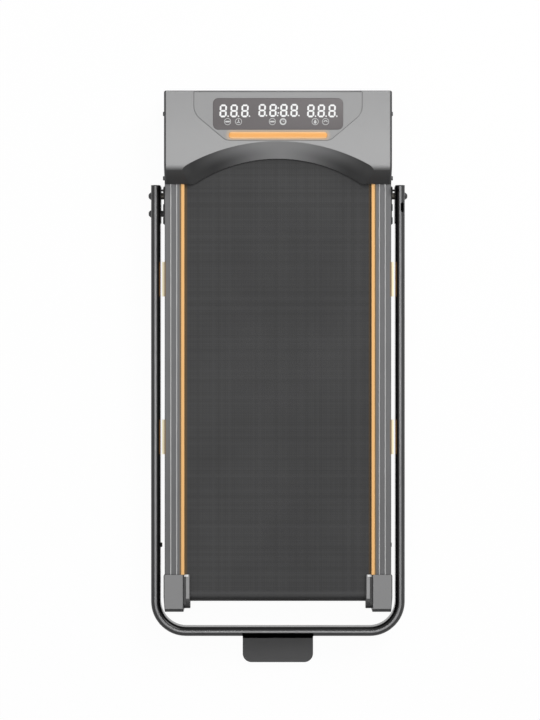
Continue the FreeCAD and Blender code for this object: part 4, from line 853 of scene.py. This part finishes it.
def make_holder_shadow_strip():
    shape = bmesh.new()
    rib_top = 27 * MM
    end_gap, strip_corner, strip_corner_steps = 0.3 * MM, 1.5 * MM, 4
    low = (holder_low.x + end_gap, tube_low.y - 8.3 * MM)
    high = (holder_high.x - end_gap, tube_low.y - 0.4 * MM)
    rings = []
    for inset, rise in ((0.0, 0.0), (0.0, 0.6 * MM), (0.4 * MM, 1.0 * MM)):
        rings.append(inset_ring(low, high, strip_corner, inset, rib_top + rise, strip_corner_steps))
    add_loft(shape, rings)
    piece_from("holder_shadow_strip", shape, "handrail", "pad_rubber", shadow_black)


def make_crossbar_shadow_strip():
    """Wraps the upper rear edge of the crossbar, over the width of the holder."""
    shape = bmesh.new()
    middle_y, middle_z = tube_low.y + tube_half_width, tube_high.z - tube_half_width
    skirt = 8 * MM
    proud, sunk = 0.45 * MM, 0.1 * MM
    first_degrees, wrap_degrees, steps = 15, 75, 12

    def wrap(radius):
        points = []
        for step in range(steps + 1):
            angle = math.radians(first_degrees + wrap_degrees * step / steps)
            points.append((middle_y - radius * math.sin(angle), middle_z + radius * math.cos(angle)))
        points.append((middle_y - radius, middle_z - skirt))
        return points

    section = wrap(tube_half_width + proud) + wrap(tube_half_width - sunk)[::-1]
    add_loft(shape, [[(x, y, z) for y, z in section] for x in (holder_low.x, holder_high.x)])
    piece_from("crossbar_shadow_strip", shape, "handrail", "pad_rubber", shadow_black)


# Matt black sheets standing in for the shadow between the crossbar and the holder.
shadow_black = shadow_sheet_finish()
make_holder_shadow_strip()
make_crossbar_shadow_strip()


# Marks on the rocker switch: a bar on one half and a ring on the other

def make_rocker_marks():
    shape = bmesh.new()
    face = 3.0 * MM
    low, high = face - 0.1 * MM, face + 0.15 * MM
    rest_tilt = math.radians(8)
    add_stroke(shape, (0.0, -5.4 * MM), (0.0, -2.6 * MM), 1.1 * MM, low, high)
    add_ring(shape, (0.0, 4.0 * MM), 2.1 * MM, 1.2 * MM, low, high)
    pivot = next(Vector(joint["pos_m"]) for joint in frame["joints"] if joint["name"] == "power_switch")
    outward = Matrix.Rotation(rest_tilt - math.pi / 2, 4, "X")
    bmesh.ops.transform(shape, matrix=Matrix.Translation(pivot) @ outward, verts=shape.verts)
    piece_from("rocker_marks", shape, "rocker", "led_white", smooth=False)


make_rocker_marks()


# Floor, lights and world, in metres

floor_reach = 15
white_start, white_end = 1.2, 5.0
near_whiteness = 0.965
world_light = 0.2


def seen_ray(tree):
    """One for rays that the camera, a gloss or glass sends out."""
    path = add(tree, "ShaderNodeLightPath")
    seen = math_node(tree, "MAXIMUM", path.outputs["Is Camera Ray"], path.outputs["Is Glossy Ray"])
    return math_node(tree, "MAXIMUM", seen, path.outputs["Is Transmission Ray"])


def floor_material():
    """White paint that takes a faint shadow near the pad and shows none far from it."""
    material = bpy.data.materials.new("floor")
    material.use_nodes = True
    tree = material.node_tree
    tree.nodes.clear()
    paint = add(tree, "ShaderNodeBsdfDiffuse", {"Color": (0.92, 0.92, 0.92, 1.0)})
    tip_painted_highlight = add(tree, "ShaderNodeEmission", {"Strength": 1.0})
    mixed = add(tree, "ShaderNodeMixShader")
    output = add(tree, "ShaderNodeOutputMaterial")
    place = add(tree, "ShaderNodeSeparateXYZ")
    tree.links.new(add(tree, "ShaderNodeTexCoord").outputs["Object"], place.inputs["Vector"])
    away = diagonal(tree, place.outputs["X"], place.outputs["Y"])
    whiteness = ramp(tree, away, white_start, white_end, near_whiteness, 1.0)
    tree.links.new(math_node(tree, "MULTIPLY", seen_ray(tree), whiteness), mixed.inputs["Fac"])
    tree.links.new(paint.outputs["BSDF"], mixed.inputs[1])
    tree.links.new(tip_painted_highlight.outputs["Emission"], mixed.inputs[2])
    tree.links.new(mixed.outputs["Shader"], output.inputs["Surface"])
    return material


def make_floor():
    shape = bmesh.new()
    for x, y in ((-1, -1), (1, -1), (1, 1), (-1, 1)):
        shape.verts.new((x * floor_reach, y * floor_reach, 0.0))
    shape.faces.new(shape.verts)
    mesh = bpy.data.meshes.new("floor")
    shape.to_mesh(mesh)
    shape.free()
    mesh.materials.append(floor_material())
    floor = bpy.data.objects.new("floor", mesh)
    scene.collection.objects.link(floor)


def make_world():
    """Even light all round that is seen as white."""
    world = bpy.data.worlds.new("studio")
    scene.world = world
    world.use_nodes = True
    tree = world.node_tree
    background = tree.nodes["Background"]
    background.inputs["Color"].default_value = (1.0, 1.0, 1.0, 1.0)
    tree.links.new(ramp(tree, seen_ray(tree), 0.0, 1.0, world_light, 1.0), background.inputs["Strength"])


def area_light(name, place, size, power):
    """Rectangular lamp aimed at the middle of the pad."""
    data = bpy.data.lights.new(name, "AREA")
    data.shape = "RECTANGLE"
    data.size, data.size_y = size
    data.energy = power
    lamp = bpy.data.objects.new(name, data)
    lamp.location = place
    lamp.rotation_euler = (-Vector(place)).to_track_quat("-Z", "Y").to_euler()
    scene.collection.objects.link(lamp)


make_floor()
make_world()
area_light("key", place=(2.3, 3.35, 3.6), size=(3.0, 3.0), power=202.0)
area_light("left_strip", place=(-0.95, 0.0, 4.0), size=(0.35, 3.4), power=26.0)
area_light("right_strip", place=(0.95, 0.0, 4.0), size=(0.35, 3.4), power=12.0)
for end in (-1, 1):
    area_light("end_strip", place=(0.0, 1.6 * end, 4.0), size=(2.0, 0.35), power=11.0)
